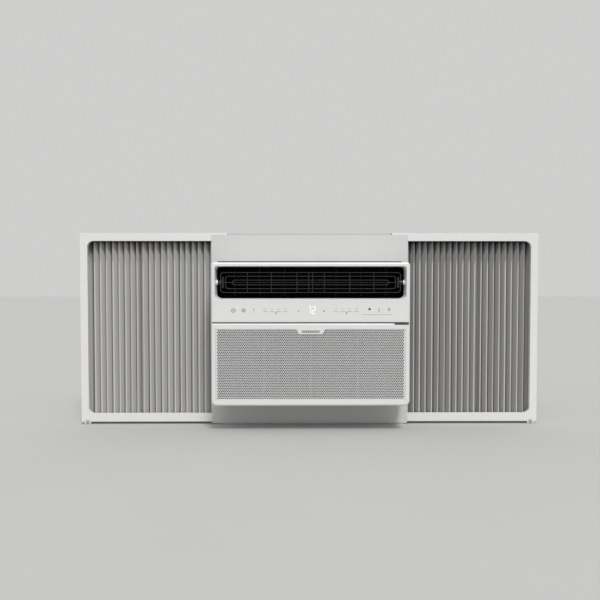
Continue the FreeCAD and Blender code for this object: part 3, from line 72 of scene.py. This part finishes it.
class Paint:
    """A small builder for one procedural material."""

    def __init__(self, name, color, rough, metallic=0.0):
        self.material = bpy.data.materials.new(name)
        self.material.use_nodes = True
        self.tree = self.material.node_tree
        self.shader = self.tree.nodes["Principled BSDF"]
        self.set("Base Color", (*color, 1.0))
        self.set("Roughness", rough)
        self.set("Metallic", metallic)
        self.color = color
        self.rough = rough
        self.place = self.node("ShaderNodeTexCoord").outputs["Object"]

    def set(self, socket, value):
        """Set one socket of the shader."""
        self.shader.inputs[socket].default_value = value

    def node(self, kind, **values):
        """A new node, with values for its sockets or its own settings."""
        item = self.tree.nodes.new(kind)
        for name, value in values.items():
            if name in item.inputs:
                item.inputs[name].default_value = value
            else:
                setattr(item, name, value)
        return item

    def link(self, source, target):
        """Join an output to an input."""
        self.tree.links.new(source, target)

    def noise(self, scale, detail=3.0, stretch=(1, 1, 1)):
        """A noise value over the object's own coordinates."""
        mapping = self.node("ShaderNodeMapping")
        mapping.inputs["Scale"].default_value = stretch
        self.link(self.place, mapping.inputs["Vector"])
        texture = self.node("ShaderNodeTexNoise", Scale=scale, Detail=detail)
        self.link(mapping.outputs["Vector"], texture.inputs["Vector"])
        return texture.outputs["Fac"]

    def ramp(self, value, low, high, first, second):
        """Two colours blended over a range of a value."""
        item = self.node("ShaderNodeValToRGB")
        item.color_ramp.elements[0].position = low
        item.color_ramp.elements[1].position = high
        item.color_ramp.elements[0].color = (*first, 1.0)
        item.color_ramp.elements[1].color = (*second, 1.0)
        self.link(value, item.inputs["Fac"])
        return item.outputs["Color"]

    def vary(self, value, amount):
        """Let the colour drift by a share of itself as a value climbs."""
        dark = tuple(c * (1 - amount) for c in self.color)
        light = tuple(min(1.0, c * (1 + amount)) for c in self.color)
        shade = self.ramp(value, NOISE_LOW, NOISE_HIGH, dark, light)
        self.link(shade, self.shader.inputs["Base Color"])

    def vary_gloss(self, value, amount):
        """Let the roughness drift by an amount each way as a value climbs."""
        span = self.node("ShaderNodeMapRange", **{
            "From Min": NOISE_LOW, "From Max": NOISE_HIGH,
            "To Min": max(0.02, self.rough - amount), "To Max": min(1.0, self.rough + amount)})
        self.link(value, span.inputs["Value"])
        self.link(span.outputs["Result"], self.shader.inputs["Roughness"])

    def bump(self, value, strength, distance):
        """Raise the surface a little where a value is high."""
        item = self.node("ShaderNodeBump", Strength=strength, Distance=distance)
        self.link(value, item.inputs["Height"])
        self.link(item.outputs["Normal"], self.shader.inputs["Normal"])


def moulded(name, color, rough, grain=1400.0, depth=0.00004, drift=0.015):
    """Moulded plastic: a faint grain, slow colour drift and uneven gloss."""
    paint = Paint(name, color, rough)
    paint.vary(paint.noise(3.0), drift)
    paint.vary_gloss(paint.noise(45.0), 0.05)
    paint.bump(paint.noise(grain, 2.0), 0.35, depth)
    return paint.material


def painted(name, color, rough):
    """Powder-coated or painted sheet: orange-peel bump."""
    paint = Paint(name, color, rough)
    paint.vary(paint.noise(5.0), 0.02)
    paint.vary_gloss(paint.noise(60.0), 0.06)
    paint.bump(paint.noise(650.0, 2.0), 0.4, 0.00006)
    return paint.material


def metal(name, color, rough, stretch, scale, drift):
    """Bare metal with spangle or drawn streaks."""
    paint = Paint(name, color, rough, metallic=1.0)
    value = paint.noise(scale, 4.0, stretch)
    paint.vary(value, drift)
    paint.vary_gloss(value, 0.10)
    paint.bump(paint.noise(scale * 6, 2.0, stretch), 0.25, 0.00003)
    return paint.material


# Colour, roughness, and what differs from moulded()'s own grain, its depth and the drift.
PLASTICS = {
    "front_plastic": ((0.77, 0.77, 0.76), 0.38, {}),
    "kit_plastic": ((0.78, 0.78, 0.77), 0.45, {}),
    "mesh_plastic": ((0.69, 0.69, 0.68), 0.45, {}),
    "dark_plastic": ((0.006, 0.006, 0.0065), 0.42, {"drift": 0.2}),
    "louver_plastic": ((0.030, 0.030, 0.031), 0.28, {"drift": 0.1}),
    "filter_plastic": ((0.10, 0.13, 0.17), 0.50, {}),
    "filter_net": ((0.035, 0.045, 0.06), 0.8, {"grain": 900.0, "drift": 0.2}),
    "foam": ((0.010, 0.010, 0.010), 0.9, {"grain": 420.0, "depth": 0.0006, "drift": 0.05}),
    "rubber_black": ((0.02, 0.02, 0.02), 0.75, {"grain": 700.0, "drift": 0.15}),
    "board": ((0.02, 0.13, 0.05), 0.40, {"grain": 300.0, "drift": 0.10}),
    "fan_plastic": ((0.62, 0.62, 0.60), 0.50, {}),
    "print_grey": ((0.22, 0.22, 0.225), 0.5, {"drift": 0.05}),
    "stage_floor": ((0.45, 0.45, 0.445), 0.8, {"grain": 90.0, "drift": 0.01}),
}
# Colour and roughness.
PAINTS = {
    "filler_paint": ((0.64, 0.645, 0.64), 0.42),
    "cabinet_paint": ((0.61, 0.62, 0.61), 0.45),
    "compressor_paint": ((0.014, 0.014, 0.016), 0.35),
    "white_screw": ((0.42, 0.42, 0.415), 0.28),
}
# Colour, roughness, the stretch and scale of the streaks, and how much the colour drifts.
METALS = {
    "badge": ((0.60, 0.60, 0.60), 0.35, (1, 40, 40), 20.0, 0.08),
    "galvanised": ((0.62, 0.64, 0.66), 0.42, (1, 1, 1), 55.0, 0.14),
    "aluminium_fin": ((0.76, 0.78, 0.80), 0.34, (1, 1, 12), 60.0, 0.08),
    "copper_tube": ((0.70, 0.38, 0.24), 0.32, (1, 1, 1), 35.0, 0.22),
    "zinc_screw": ((0.66, 0.67, 0.69), 0.30, (1, 1, 1), 160.0, 0.08),
    "steel_shaft": ((0.70, 0.71, 0.72), 0.22, (40, 1, 40), 30.0, 0.08),
    "motor_steel": ((0.50, 0.51, 0.53), 0.38, (1, 1, 1), 70.0, 0.12),
}
# Each curtain's film and how pale its middle tones are: painted light on the left film, and painted
# shade on the right one, which stands in shade.
FILMS = {"curtain_film": 1.22, "curtain_film_painted_shade": 0.84}


def make_materials():
    """Every material of the object and its stage, by name."""
    made = {name: moulded(name, color, rough, **extra)
            for name, (color, rough, extra) in PLASTICS.items()}
    made.update({name: painted(name, *values) for name, values in PAINTS.items()})
    made.update({name: metal(name, *values) for name, values in METALS.items()})
    made.update({name: curtain_film(name, painted_light_gain) for name, painted_light_gain in FILMS.items()})
    made["led_white"] = led_white()
    return made


def curtain_film(name, painted_light_gain):
    """Grey vinyl film with faint upright streaks, and painted light and shade from a mesh
    attribute: dark in the folds, under the top bar and at the post, pale along the crests.
    """
    paint = Paint(name, (0.34, 0.335, 0.33), 0.42)
    painted_shade = paint.node("ShaderNodeAttribute", attribute_name="painted_shade")
    streak = paint.noise(30.0, 3.0, (1, 1, 0.04))
    mixed = paint.node("ShaderNodeMath", operation="MULTIPLY_ADD")
    mixed.inputs[1].default_value = 0.16
    paint.link(streak, mixed.inputs[0])
    paint.link(painted_shade.outputs["Fac"], mixed.inputs[2])
    # The ramp turns the painted shade into colour: near black in the shade, pale on the lit crests.
    ramp = paint.ramp(mixed.outputs["Value"], 0.08, 1.0, (0.015, 0.015, 0.015), (0.68, 0.675, 0.67))
    # Each film's painted light gain lightens or darkens the ramp's middle tones.
    for place, grey in ((0.26, 0.33 * painted_light_gain), (0.86, 0.38 * painted_light_gain)):
        ramp.node.color_ramp.elements.new(place).color = (grey, grey * 0.99, grey * 0.98, 1.0)
    paint.link(ramp, paint.shader.inputs["Base Color"])
    paint.vary_gloss(paint.noise(40.0, 2.0, (1, 1, 0.3)), 0.08)
    paint.bump(paint.noise(160.0, 3.0, (1, 1, 0.15)), 0.3, 0.0002)
    return paint.material


def led_white():
    """The display's digits, which glow faintly."""
    paint = Paint("led_white", (0.95, 0.95, 0.95), 0.4)
    paint.set("Emission Color", (1.0, 1.0, 1.0, 1.0))
    paint.set("Emission Strength", 0.25)
    paint.vary(paint.noise(200.0), 0.02)
    return paint.material


MATERIAL = make_materials()


# ---------------------------------------------------------------- mesh helpers


def piece_of(name, mesh, body, slot, material=None):
    """Put a finished mesh in the scene and let it ride on a body."""
    item = bpy.data.objects.new(name, mesh)
    bpy.context.scene.collection.objects.link(item)
    item.data.materials.clear()
    item.data.materials.append(MATERIAL[material or slot])
    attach(item, body)
    return item


def mesh_from(name, build):
    """A mesh made by build(bm), with its normals outwards."""
    bm = bmesh.new()
    build(bm)
    bmesh.ops.recalc_face_normals(bm, faces=bm.faces)
    mesh = bpy.data.meshes.new(name)
    bm.to_mesh(mesh)
    bm.free()
    return mesh


def shade_by_angle(mesh, degrees=35.0):
    """Smooth faces, with sharp edges where two faces meet at more than an angle."""
    mesh.polygons.foreach_set("use_smooth", [True] * len(mesh.polygons))
    mesh.set_sharp_from_angle(angle=math.radians(degrees))


def add_prism(bm, outline, low, high, to_point):
    """A prism: outline is a list of 2D points, to_point(u, v, w) places each in space."""
    near = [bm.verts.new(to_point(u, v, low)) for u, v in outline]
    far = [bm.verts.new(to_point(u, v, high)) for u, v in outline]
    bm.faces.new(near)
    bm.faces.new(list(reversed(far)))
    count = len(outline)
    for index in range(count):
        after = (index + 1) % count
        bm.faces.new((near[index], far[index], far[after], near[after]))


# ---------------------------------------------------------------- accordion curtains


PLEATS = 20
# One pleat stands open wider than the others.
WIDE_PLEAT = 11
# Shares of a pleat's pitch: where its crest and root stand, and the flat beside the root.
CREST_AT, ROOT_AT, FLAT = 0.16, 0.47, 0.06
WIDE_ROOT_AT, WIDE_FLAT = 0.66, 0.22
# The points that round a crest and a root: a share of the pitch along X, and metres along Y.
CREST = ((-0.085, 0.0011), (-0.045, 0.0002), (0.0, 0.0), (0.045, 0.0006))
ROOT = ((-0.05, 0.0012), (0.0, 0.0))
UNEVEN = 0.8 * MM
# Heights of the film's rows of points, as shares of its own height; closer near the top.
LEVELS = [row / 22 for row in range(21)] + [0.965, 0.973, 0.981, 0.989, 1.0]
FILM_THICK = 0.5 * MM
# How deep the CAD curtain goes into the frame's groove.
IN_GROOVE = 6 * MM
# The film leans sideways in long waves, whose counts are in radians up and along the curtain.
LEAN, WAVE_UP, WAVE_ALONG = 0.25 * MM, 3.1, 18
# How far the painted shade reaches below the top bar and inwards from the post.
TOP_SHADE, POST_SHADE = 58 * MM, 14 * MM


def fold_line(inner, outer, front, back, chance):
    """The curtain's section: each pleat drops steeply outwards and rises gently again."""
    pitch = (outer - inner) / PLEATS
    points = [(inner, (front + back) / 2)]
    for pleat in range(PLEATS):
        wide = pleat == WIDE_PLEAT
        start = inner + pleat * pitch
        crest = start + pitch * (CREST_AT + chance.uniform(-0.06, 0.06))
        root = start + pitch * ((WIDE_ROOT_AT if wide else ROOT_AT) + chance.uniform(-0.05, 0.05))
        near = front + chance.uniform(0.0, UNEVEN)
        far = back - chance.uniform(0.0, UNEVEN)
        points += [(crest + pitch * along, near + sink) for along, sink in CREST]
        points += [(root + pitch * along, far - rise) for along, rise in ROOT]
        points.append((root + pitch * (WIDE_FLAT if wide else FLAT), far - UNEVEN))
    points.append((outer, (front + back) / 2))
    return points


def close_film(bm, front, back):
    """Faces of both sides of the film and of its four edges, from two grids of vertices."""
    rows = len(front) - 1
    count = len(front[0])
    for row in range(rows):
        for col in range(count - 1):
            for grid in (front, back):
                bm.faces.new((grid[row][col], grid[row][col + 1],
                              grid[row + 1][col + 1], grid[row + 1][col]))
    for row in range(rows):
        for col in (0, count - 1):
            bm.faces.new((front[row][col], front[row + 1][col],
                          back[row + 1][col], back[row][col]))
    for row in (0, rows):
        for col in range(count - 1):
            bm.faces.new((front[row][col], front[row][col + 1],
                          back[row][col + 1], back[row][col]))


def make_curtain(word, side, seed):
    """One accordion curtain: a thin folded film, which stays on the root body in place of the CAD
    curtain.
    """
    low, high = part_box(f"{word}_curtain")
    _, rail_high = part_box("side_rails")
    inner = rail_high.x
    outer = max(abs(low.x), abs(high.x)) - IN_GROOVE
    chance = random.Random(seed)
    line = fold_line(inner, outer, low.y + 0.2 * MM, high.y - 0.2 * MM, chance)
    height = high.z - low.z
    sway = [chance.uniform(0, math.tau) for _ in range(2)]

    def leaning(x, y, z):
        """A point of the film, moved sideways by its lean and out to this curtain's side."""
        lean = LEAN * math.sin(WAVE_UP * z / height + sway[0])
        along = math.sin(WAVE_ALONG * (x - inner) / (outer - inner) + sway[1])
        return side * (x + lean * along), y, z

    def build(bm):
        heights = [low.z + height * level for level in LEVELS]
        close_film(bm, *([[bm.verts.new(leaning(x, y + depth, z)) for x, y in line]
                          for z in heights] for depth in (0.0, FILM_THICK)))

    def shade(place):
        """How pale the film is painted: painted shade darkens it into the folds, under the top bar
        and at the post.
        """
        crest = (high.y - place.y) / (high.y - low.y)
        below = min(1.0, max(0.0, (high.z - IN_GROOVE - place.z) / TOP_SHADE))
        clear = min(1.0, max(0.0, (outer - abs(place.x)) / POST_SHADE))
        return crest * below ** 0.8 * (0.55 + 0.45 * clear)

    mesh = mesh_from(f"{word}_pleats", build)
    shade_by_angle(mesh, 40.0)
    # Each point's painted shade goes into a mesh attribute that the film's material reads.
    painted_shade = mesh.attributes.new("painted_shade", "FLOAT", "POINT")
    painted_shade.data.foreach_set("value", [shade(v.co) for v in mesh.vertices])
    # The right curtain's film is painted darker, as shade.
    film_look = "curtain_film" if side < 0 else "curtain_film_painted_shade"
    item = piece_of(f"{word}_pleats", mesh, "root", "curtain_film", film_look)
    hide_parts(f"{word}_curtain")
    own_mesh(item)


# ---------------------------------------------------------------- intake mesh


HOLE_PITCH = 4.5 * MM
HOLE_RISE = HOLE_PITCH * math.sqrt(3) / 2
HOLE_RADIUS = 1.70 * MM
HOLE_SIDES = 12
SHEET_BORDER = 1.6 * MM


def hole_ring(x, z):
    """The corners of one hole round a centre."""
    turns = [math.tau * k / HOLE_SIDES for k in range(HOLE_SIDES)]
    return [(x + HOLE_RADIUS * math.cos(turn), z + HOLE_RADIUS * math.sin(turn)) for turn in turns]


def make_intake_mesh():
    """The perforated sheet: every hole is a real hole, in rows staggered by half a pitch."""
    low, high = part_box("intake_mesh")
    rows = int((high.z - low.z - 2 * SHEET_BORDER) / HOLE_RISE)
    columns = int((high.x - low.x - 2 * SHEET_BORDER) / HOLE_PITCH - 0.5)
    half = columns // 2
    left = (low.x + high.x) / 2 - HOLE_PITCH * (columns + 0.5) / 2
    base = (low.z + high.z) / 2 - HOLE_RISE * rows / 2
    middle = left + half * HOLE_PITCH
    right = left + (columns + 0.5) * HOLE_PITCH
    parts = (("mesh_left", 0, half, left, middle, low.x, None),
             ("mesh_right", half, columns, middle, right, None, high.x))
    for name, first, last, near, far, edge_left, edge_right in parts:
        sheet = Sheet(low, high, rows, left, base)
        mesh = mesh_from(name, lambda bm: sheet.build(
            bm, first, last, near, far, edge_left, edge_right))
        item = piece_of(name, mesh, "intake_grille", "mesh_plastic")
        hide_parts("intake_mesh")


class Sheet:
    """A thin sheet built cell by cell, each cell with one round hole."""

    def __init__(self, low, high, rows, left, base):
        self.low, self.high = low, high
        self.rows, self.left, self.base = rows, left, base
        self.points = {}

    def vert(self, bm, x, y, z):
        """The vertex at a place, made once."""
        key = (round(x * 1e6), round(y * 1e6), round(z * 1e6))
        if key not in self.points:
            self.points[key] = bm.verts.new((x, y, z))
        return self.points[key]

    def face(self, bm, corners):
        """One flat face on both sides of the sheet, from a list of x, z corners."""
        for y in (self.low.y, self.high.y):
            bm.faces.new([self.vert(bm, x, y, z) for x, z in corners])

    def fill(self, bm, near, far, low, high):
        """A plain patch of the sheet, without holes."""
        self.face(bm, [(near, low), (far, low), (far, high), (near, high)])

    def cell(self, bm, x, z):
        """A cell with its lower left corner at x, z."""
        w, h = HOLE_PITCH, HOLE_RISE
        outer = [(x + w, z), (x + w, z + h), (x + w / 2, z + h), (x, z + h), (x, z), (x + w / 2, z)]
        ring = hole_ring(x + w / 2, z + h / 2)
        for k in range(6):
            start = 2 * k - 1
            middle = [ring[(start + i) % HOLE_SIDES] for i in (2, 1, 0)]
            self.face(bm, [outer[k], outer[(k + 1) % 6], *middle])
        for p, q in zip(ring, ring[1:] + ring[:1]):
            corners = ((p, self.low.y), (q, self.low.y), (q, self.high.y), (p, self.high.y))
            bm.faces.new([self.vert(bm, place[0], y, place[1]) for place, y in corners])

    def build(self, bm, first, last, near, far, edge_left, edge_right):
        """Columns first to last, with plain strips towards the edges that are given."""
        for row in range(self.rows):
            z = self.base + row * HOLE_RISE
            top = z + HOLE_RISE
            origin = self.left + (HOLE_PITCH / 2 if row % 2 else 0.0)
            start = origin + first * HOLE_PITCH
            end = origin + last * HOLE_PITCH
            for column in range(first, last):
                self.cell(bm, origin + column * HOLE_PITCH, z)
            if edge_left is not None:
                if start - near > HOLE_PITCH / 4:
                    self.fill(bm, near, start, z, top)
                self.fill(bm, edge_left, near, z, top)
            if edge_right is not None:
                if far - end > HOLE_PITCH / 4:
                    self.fill(bm, end, far, z, top)
                self.fill(bm, far, edge_right, z, top)
        start = near if edge_left is None else edge_left
        end = far if edge_right is None else edge_right
        self.fill(bm, start, end, self.low.z, self.base)
        self.fill(bm, start, end, self.base + self.rows * HOLE_RISE, self.high.z)


# ---------------------------------------------------------------- painted shade strips


STRIP_STEPS = 120
# A strip's domed section: shares of its depth and of its height.
STRIP_SECTION = ((0.0, 0.0), (1.0, 0.0), (1.25, 0.5), (1.0, 1.0), (0.0, 1.0))


def make_shade_strip(name, body, seed, half, front, bottom, tall, deep):
    """A thin dark strip along X, with a slightly uneven, domed face: painted shade, a dark thing
    put in a gap that stands in shadow.
    """
    chance = random.Random(seed)

    def build(bm):
        rows = []
        for depth, level in STRIP_SECTION:
            row = []
            for step in range(STRIP_STEPS + 1):
                wave = chance.uniform(-0.05, 0.05) * MM
                row.append(bm.verts.new((half * (2 * step / STRIP_STEPS - 1),
                                         front - (deep + wave) * depth,
                                         bottom + tall * level + wave)))
            rows.append(row)
        for index, row in enumerate(rows):
            after = rows[(index + 1) % len(rows)]
            for step in range(STRIP_STEPS):
                bm.faces.new((row[step], row[step + 1], after[step + 1], after[step]))
        bm.faces.new([row[0] for row in rows])
        bm.faces.new([row[-1] for row in rows])

    mesh = mesh_from(name, build)
    shade_by_angle(mesh)
    piece_of(name, mesh, body, "rubber_black")


def make_all_shade_strips():
    """Painted shade: a dark strip in the shadowed gap over the front's top edge, and one in the
    shadowed seam along the intake panel's top edge.
    """
    filler_low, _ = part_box("upper_filler")
    _, front_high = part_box("front_bezel")
    # Painted shade: a dark strip in the gap over the front's top edge.
    make_shade_strip("top_shade_strip", "root", seed=5, half=front_high.x - 5 * MM, front=filler_low.y,
              bottom=front_high.z + 0.2 * MM, tall=4.6 * MM, deep=0.7 * MM)
    panel_low, panel_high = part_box("intake_grille")
    # Painted shade: a dark strip in the seam over the intake panel's top edge.
    make_shade_strip("seam_shade_strip", "intake_grille", seed=7, half=panel_high.x - 2.5 * MM,
              front=panel_low.y + 3.4 * MM, bottom=panel_high.z - 2.0 * MM,
              tall=2.4 * MM, deep=2.6 * MM)


# ---------------------------------------------------------------- printed marks


INK = 0.12 * MM
# How far the marks' line lies below the strip's top edge.
LINE_DROP = 19 * MM
# Sizes that the pen draws are in millimetres.
THIN, DASH_PITCH = 1.25, 16
DIGIT_WIDE, DIGIT_TALL, DIGIT_BAR = 6.4, 16.5, 1.6
# The bars that a digit lights, by the letters of a seven-segment display.
SEGMENTS = {"7": "abc", "2": "abged"}


class Pen:
    """Prints on the control strip, in millimetres from the middle of the marks' line."""

    def __init__(self, bm, y, z):
        self.bm, self.y, self.z = bm, y, z

    def bar(self, start, end, wide):
        """A flat bar with square ends, a hair proud of the surface."""
        a, b = Vector(start) * MM, Vector(end) * MM
        along = (b - a).normalized() * wide * MM / 2
        across = Vector((-along.y, along.x))
        a, b = a - along, b + along
        outline = [a - across, b - across, b + across, a + across]
        add_prism(self.bm, [(p.x, self.z + p.y) for p in outline], self.y, self.y - INK,
                  lambda u, v, w: (u, w, v))

    def arc(self, centre, radius, start, end, wide, steps=14):
        """An arc, from start to end in degrees."""
        x, z = centre
        turns = [math.radians(start + (end - start) * k / steps) for k in range(steps + 1)]
        points = [(x + radius * math.cos(turn), z + radius * math.sin(turn)) for turn in turns]
        for p, q in zip(points, points[1:]):
            self.bar(p, q, wide)

    def digit(self, which, x, z):
        """A digit whose lower left corner is at x, z."""
        wide, tall, half = DIGIT_WIDE, DIGIT_TALL, DIGIT_TALL / 2
        ends = {
            "a": ((0, tall), (wide, tall)), "b": ((wide, half), (wide, tall)),
            "c": ((wide, 0), (wide, half)), "d": ((0, 0), (wide, 0)),
            "e": ((0, 0), (0, half)), "g": ((0, half), (wide, half)),
        }
        # The bars stop short of the digit's corners, so that they don't meet.
        trim = DIGIT_BAR * 0.62
        for letter in SEGMENTS[which]:
            (x0, z0), (x1, z1) = ends[letter]
            across, up = (0, trim) if x0 == x1 else (trim, 0)
            self.bar((x + x0 + across, z + z0 + up), (x + x1 - across, z + z1 - up), DIGIT_BAR)


def print_marks(pen):
    """Generic touch marks, from left to right."""
    # Two rings that are open at the top, with an upright bar.
    for x, size in ((-182, 4.2), (-158, 3.6)):
        pen.arc((x, 0), size, 120, 420, THIN)
        pen.bar((x, 0), (x, size), THIN)
    # A tall bar over a dot.
    pen.bar((-134, -1), (-134, 4.5), THIN)
    pen.bar((-134, -4.5), (-134, -4), THIN)
    # Two sliders: long dashes under short ones, and a tick below.
    for start in (-112, 55):
        for x in range(start, start + 4 * DASH_PITCH, DASH_PITCH):
            pen.bar((x, -3), (x + 10, -3), THIN * 0.6)
            pen.bar((x + 2, 3), (x + 7, 3), THIN * 0.6)
        pen.bar((start + 30, -8), (start + 30, -4), THIN * 1.6)
    # Minus and plus, beside the digits.
    pen.bar((-31, -1.5), (-27, -1.5), THIN)
    pen.bar((29, -1.5), (33, -1.5), THIN)
    pen.bar((31, -3.5), (31, 0.5), THIN)
    # A dot, a bar and a ring over a long rule.
    pen.arc((139, 3), 1.6, 0, 360, 2, 10)
    pen.bar((161, -4), (161, 4), THIN * 1.3)
    pen.arc((185, 2), 2.6, 0, 360, THIN * 0.8)
    pen.bar((122, -10), (190, -10), THIN * 0.45)


def print_digits(pen):
    """The temperature that the display shows."""
    pen.digit("7", -6.5, -8)
    pen.digit("2", 4.2, -8)


def make_marks():
    """The touch marks and the lit digits on the control strip."""
    low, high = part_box("control_overlay")
    for name, draw, look in (("control_marks", print_marks, "print_grey"),
                             ("lit_digits", print_digits, "led_white")):
        mesh = mesh_from(name, lambda bm: draw(Pen(bm, low.y, high.z - LINE_DROP)))
        piece_of(name, mesh, "root", "front_plastic", look)


# ---------------------------------------------------------------- CAD nodes' materials


def finish_cad_nodes():
    """Give every shown CAD node its slot's material."""
    for row in RECORD["subparts"]:
        item = NODE[row["node"]]
        for slot in item.material_slots:
            slot.material = MATERIAL[row["material_slot"]]
        shade_by_angle(item.data, 30.0)


# ---------------------------------------------------------------- stage, light and camera


FLOOR_HALF = 12.0
FLOOR_DROP = 0.5 * MM


def make_stage():
    """A plain floor, a hair below the part."""
    floor = bpy.data.objects.new("floor", mesh_from("floor", add_floor))
    floor.data.materials.append(MATERIAL["stage_floor"])
    bpy.context.scene.collection.objects.link(floor)


def add_floor(bm):
    """One large square face."""
    corners = ((-1, -1), (1, -1), (1, 1), (-1, 1))
    bm.faces.new([bm.verts.new((x * FLOOR_HALF, y * FLOOR_HALF, -FLOOR_DROP)) for x, y in corners])


def make_sun(name, heading, height, spread, power):
    """A soft parallel light: heading 0 is straight in front, and the angles are in degrees."""
    data = bpy.data.lights.new(name, "SUN")
    data.angle = math.radians(spread)
    data.energy = power
    item = bpy.data.objects.new(name, data)
    turn, rise = math.radians(heading), math.radians(height)
    toward = Vector((math.sin(turn) * math.cos(rise), -math.cos(turn) * math.cos(rise),
                     math.sin(rise)))
    item.rotation_euler = (-toward).to_track_quat("-Z", "Y").to_euler()
    bpy.context.scene.collection.objects.link(item)


# The sky's strength at the horizon and overhead, and the direction's Z from which it is full.
SKY_LOW, SKY_HIGH, SKY_FULL_Z = 0.06, 1.0, 0.9


def make_lights():
    """Two soft suns, and a sky that is brighter overhead and looks plain to the camera."""
    make_sun("over", heading=14, height=54, spread=14, power=1.9)
    make_sun("front", heading=-12, height=28, spread=30, power=0.22)
    world = bpy.context.scene.world or bpy.data.worlds.new("World")
    bpy.context.scene.world = world
    world.use_nodes = True
    nodes = world.node_tree.nodes
    links = world.node_tree.links
    air = nodes["Background"]
    air.inputs["Color"].default_value = (1.0, 0.995, 0.985, 1.0)
    place = nodes.new("ShaderNodeTexCoord")
    parts = nodes.new("ShaderNodeSeparateXYZ")
    climb = nodes.new("ShaderNodeMapRange")
    for socket, value in (("From Max", SKY_FULL_Z), ("To Min", SKY_LOW), ("To Max", SKY_HIGH)):
        climb.inputs[socket].default_value = value
    links.new(place.outputs["Generated"], parts.inputs["Vector"])
    links.new(parts.outputs["Z"], climb.inputs["Value"])
    links.new(climb.outputs["Result"], air.inputs["Strength"])
    seen = nodes.new("ShaderNodeBackground")
    seen.inputs["Color"].default_value = (0.62, 0.62, 0.615, 1.0)
    path = nodes.new("ShaderNodeLightPath")
    blend = nodes.new("ShaderNodeMixShader")
    links.new(path.outputs["Is Camera Ray"], blend.inputs["Fac"])
    links.new(air.outputs["Background"], blend.inputs[1])
    links.new(seen.outputs["Background"], blend.inputs[2])
    links.new(blend.outputs["Shader"], nodes["World Output"].inputs["Surface"])
    bpy.context.scene.view_settings.view_transform = "Standard"


CAMERA_PLACE = (-0.0374, -1.6192, 0.3641)
# How far it looks down and to the right, in radians.
CAMERA_TILT, CAMERA_TURN = 0.0321, 0.0080
# Both are in millimetres.
CAMERA_LENS, CAMERA_SENSOR = 38.73, 36.0


def make_camera():
    """The camera stands a little left of the middle, where the photo was taken."""
    data = bpy.data.cameras.new("camera")
    data.sensor_width = CAMERA_SENSOR
    data.lens = CAMERA_LENS
    camera = bpy.data.objects.new("camera", data)
    camera.location = CAMERA_PLACE
    camera.rotation_euler = (math.pi / 2 - CAMERA_TILT, 0, -CAMERA_TURN)
    bpy.context.scene.collection.objects.link(camera)
    bpy.context.scene.camera = camera


make_camera()
make_stage()
make_lights()
finish_cad_nodes()
make_curtain("left", side=-1, seed=11)
make_curtain("right", side=1, seed=23)
make_intake_mesh()
make_all_shade_strips()
make_marks()
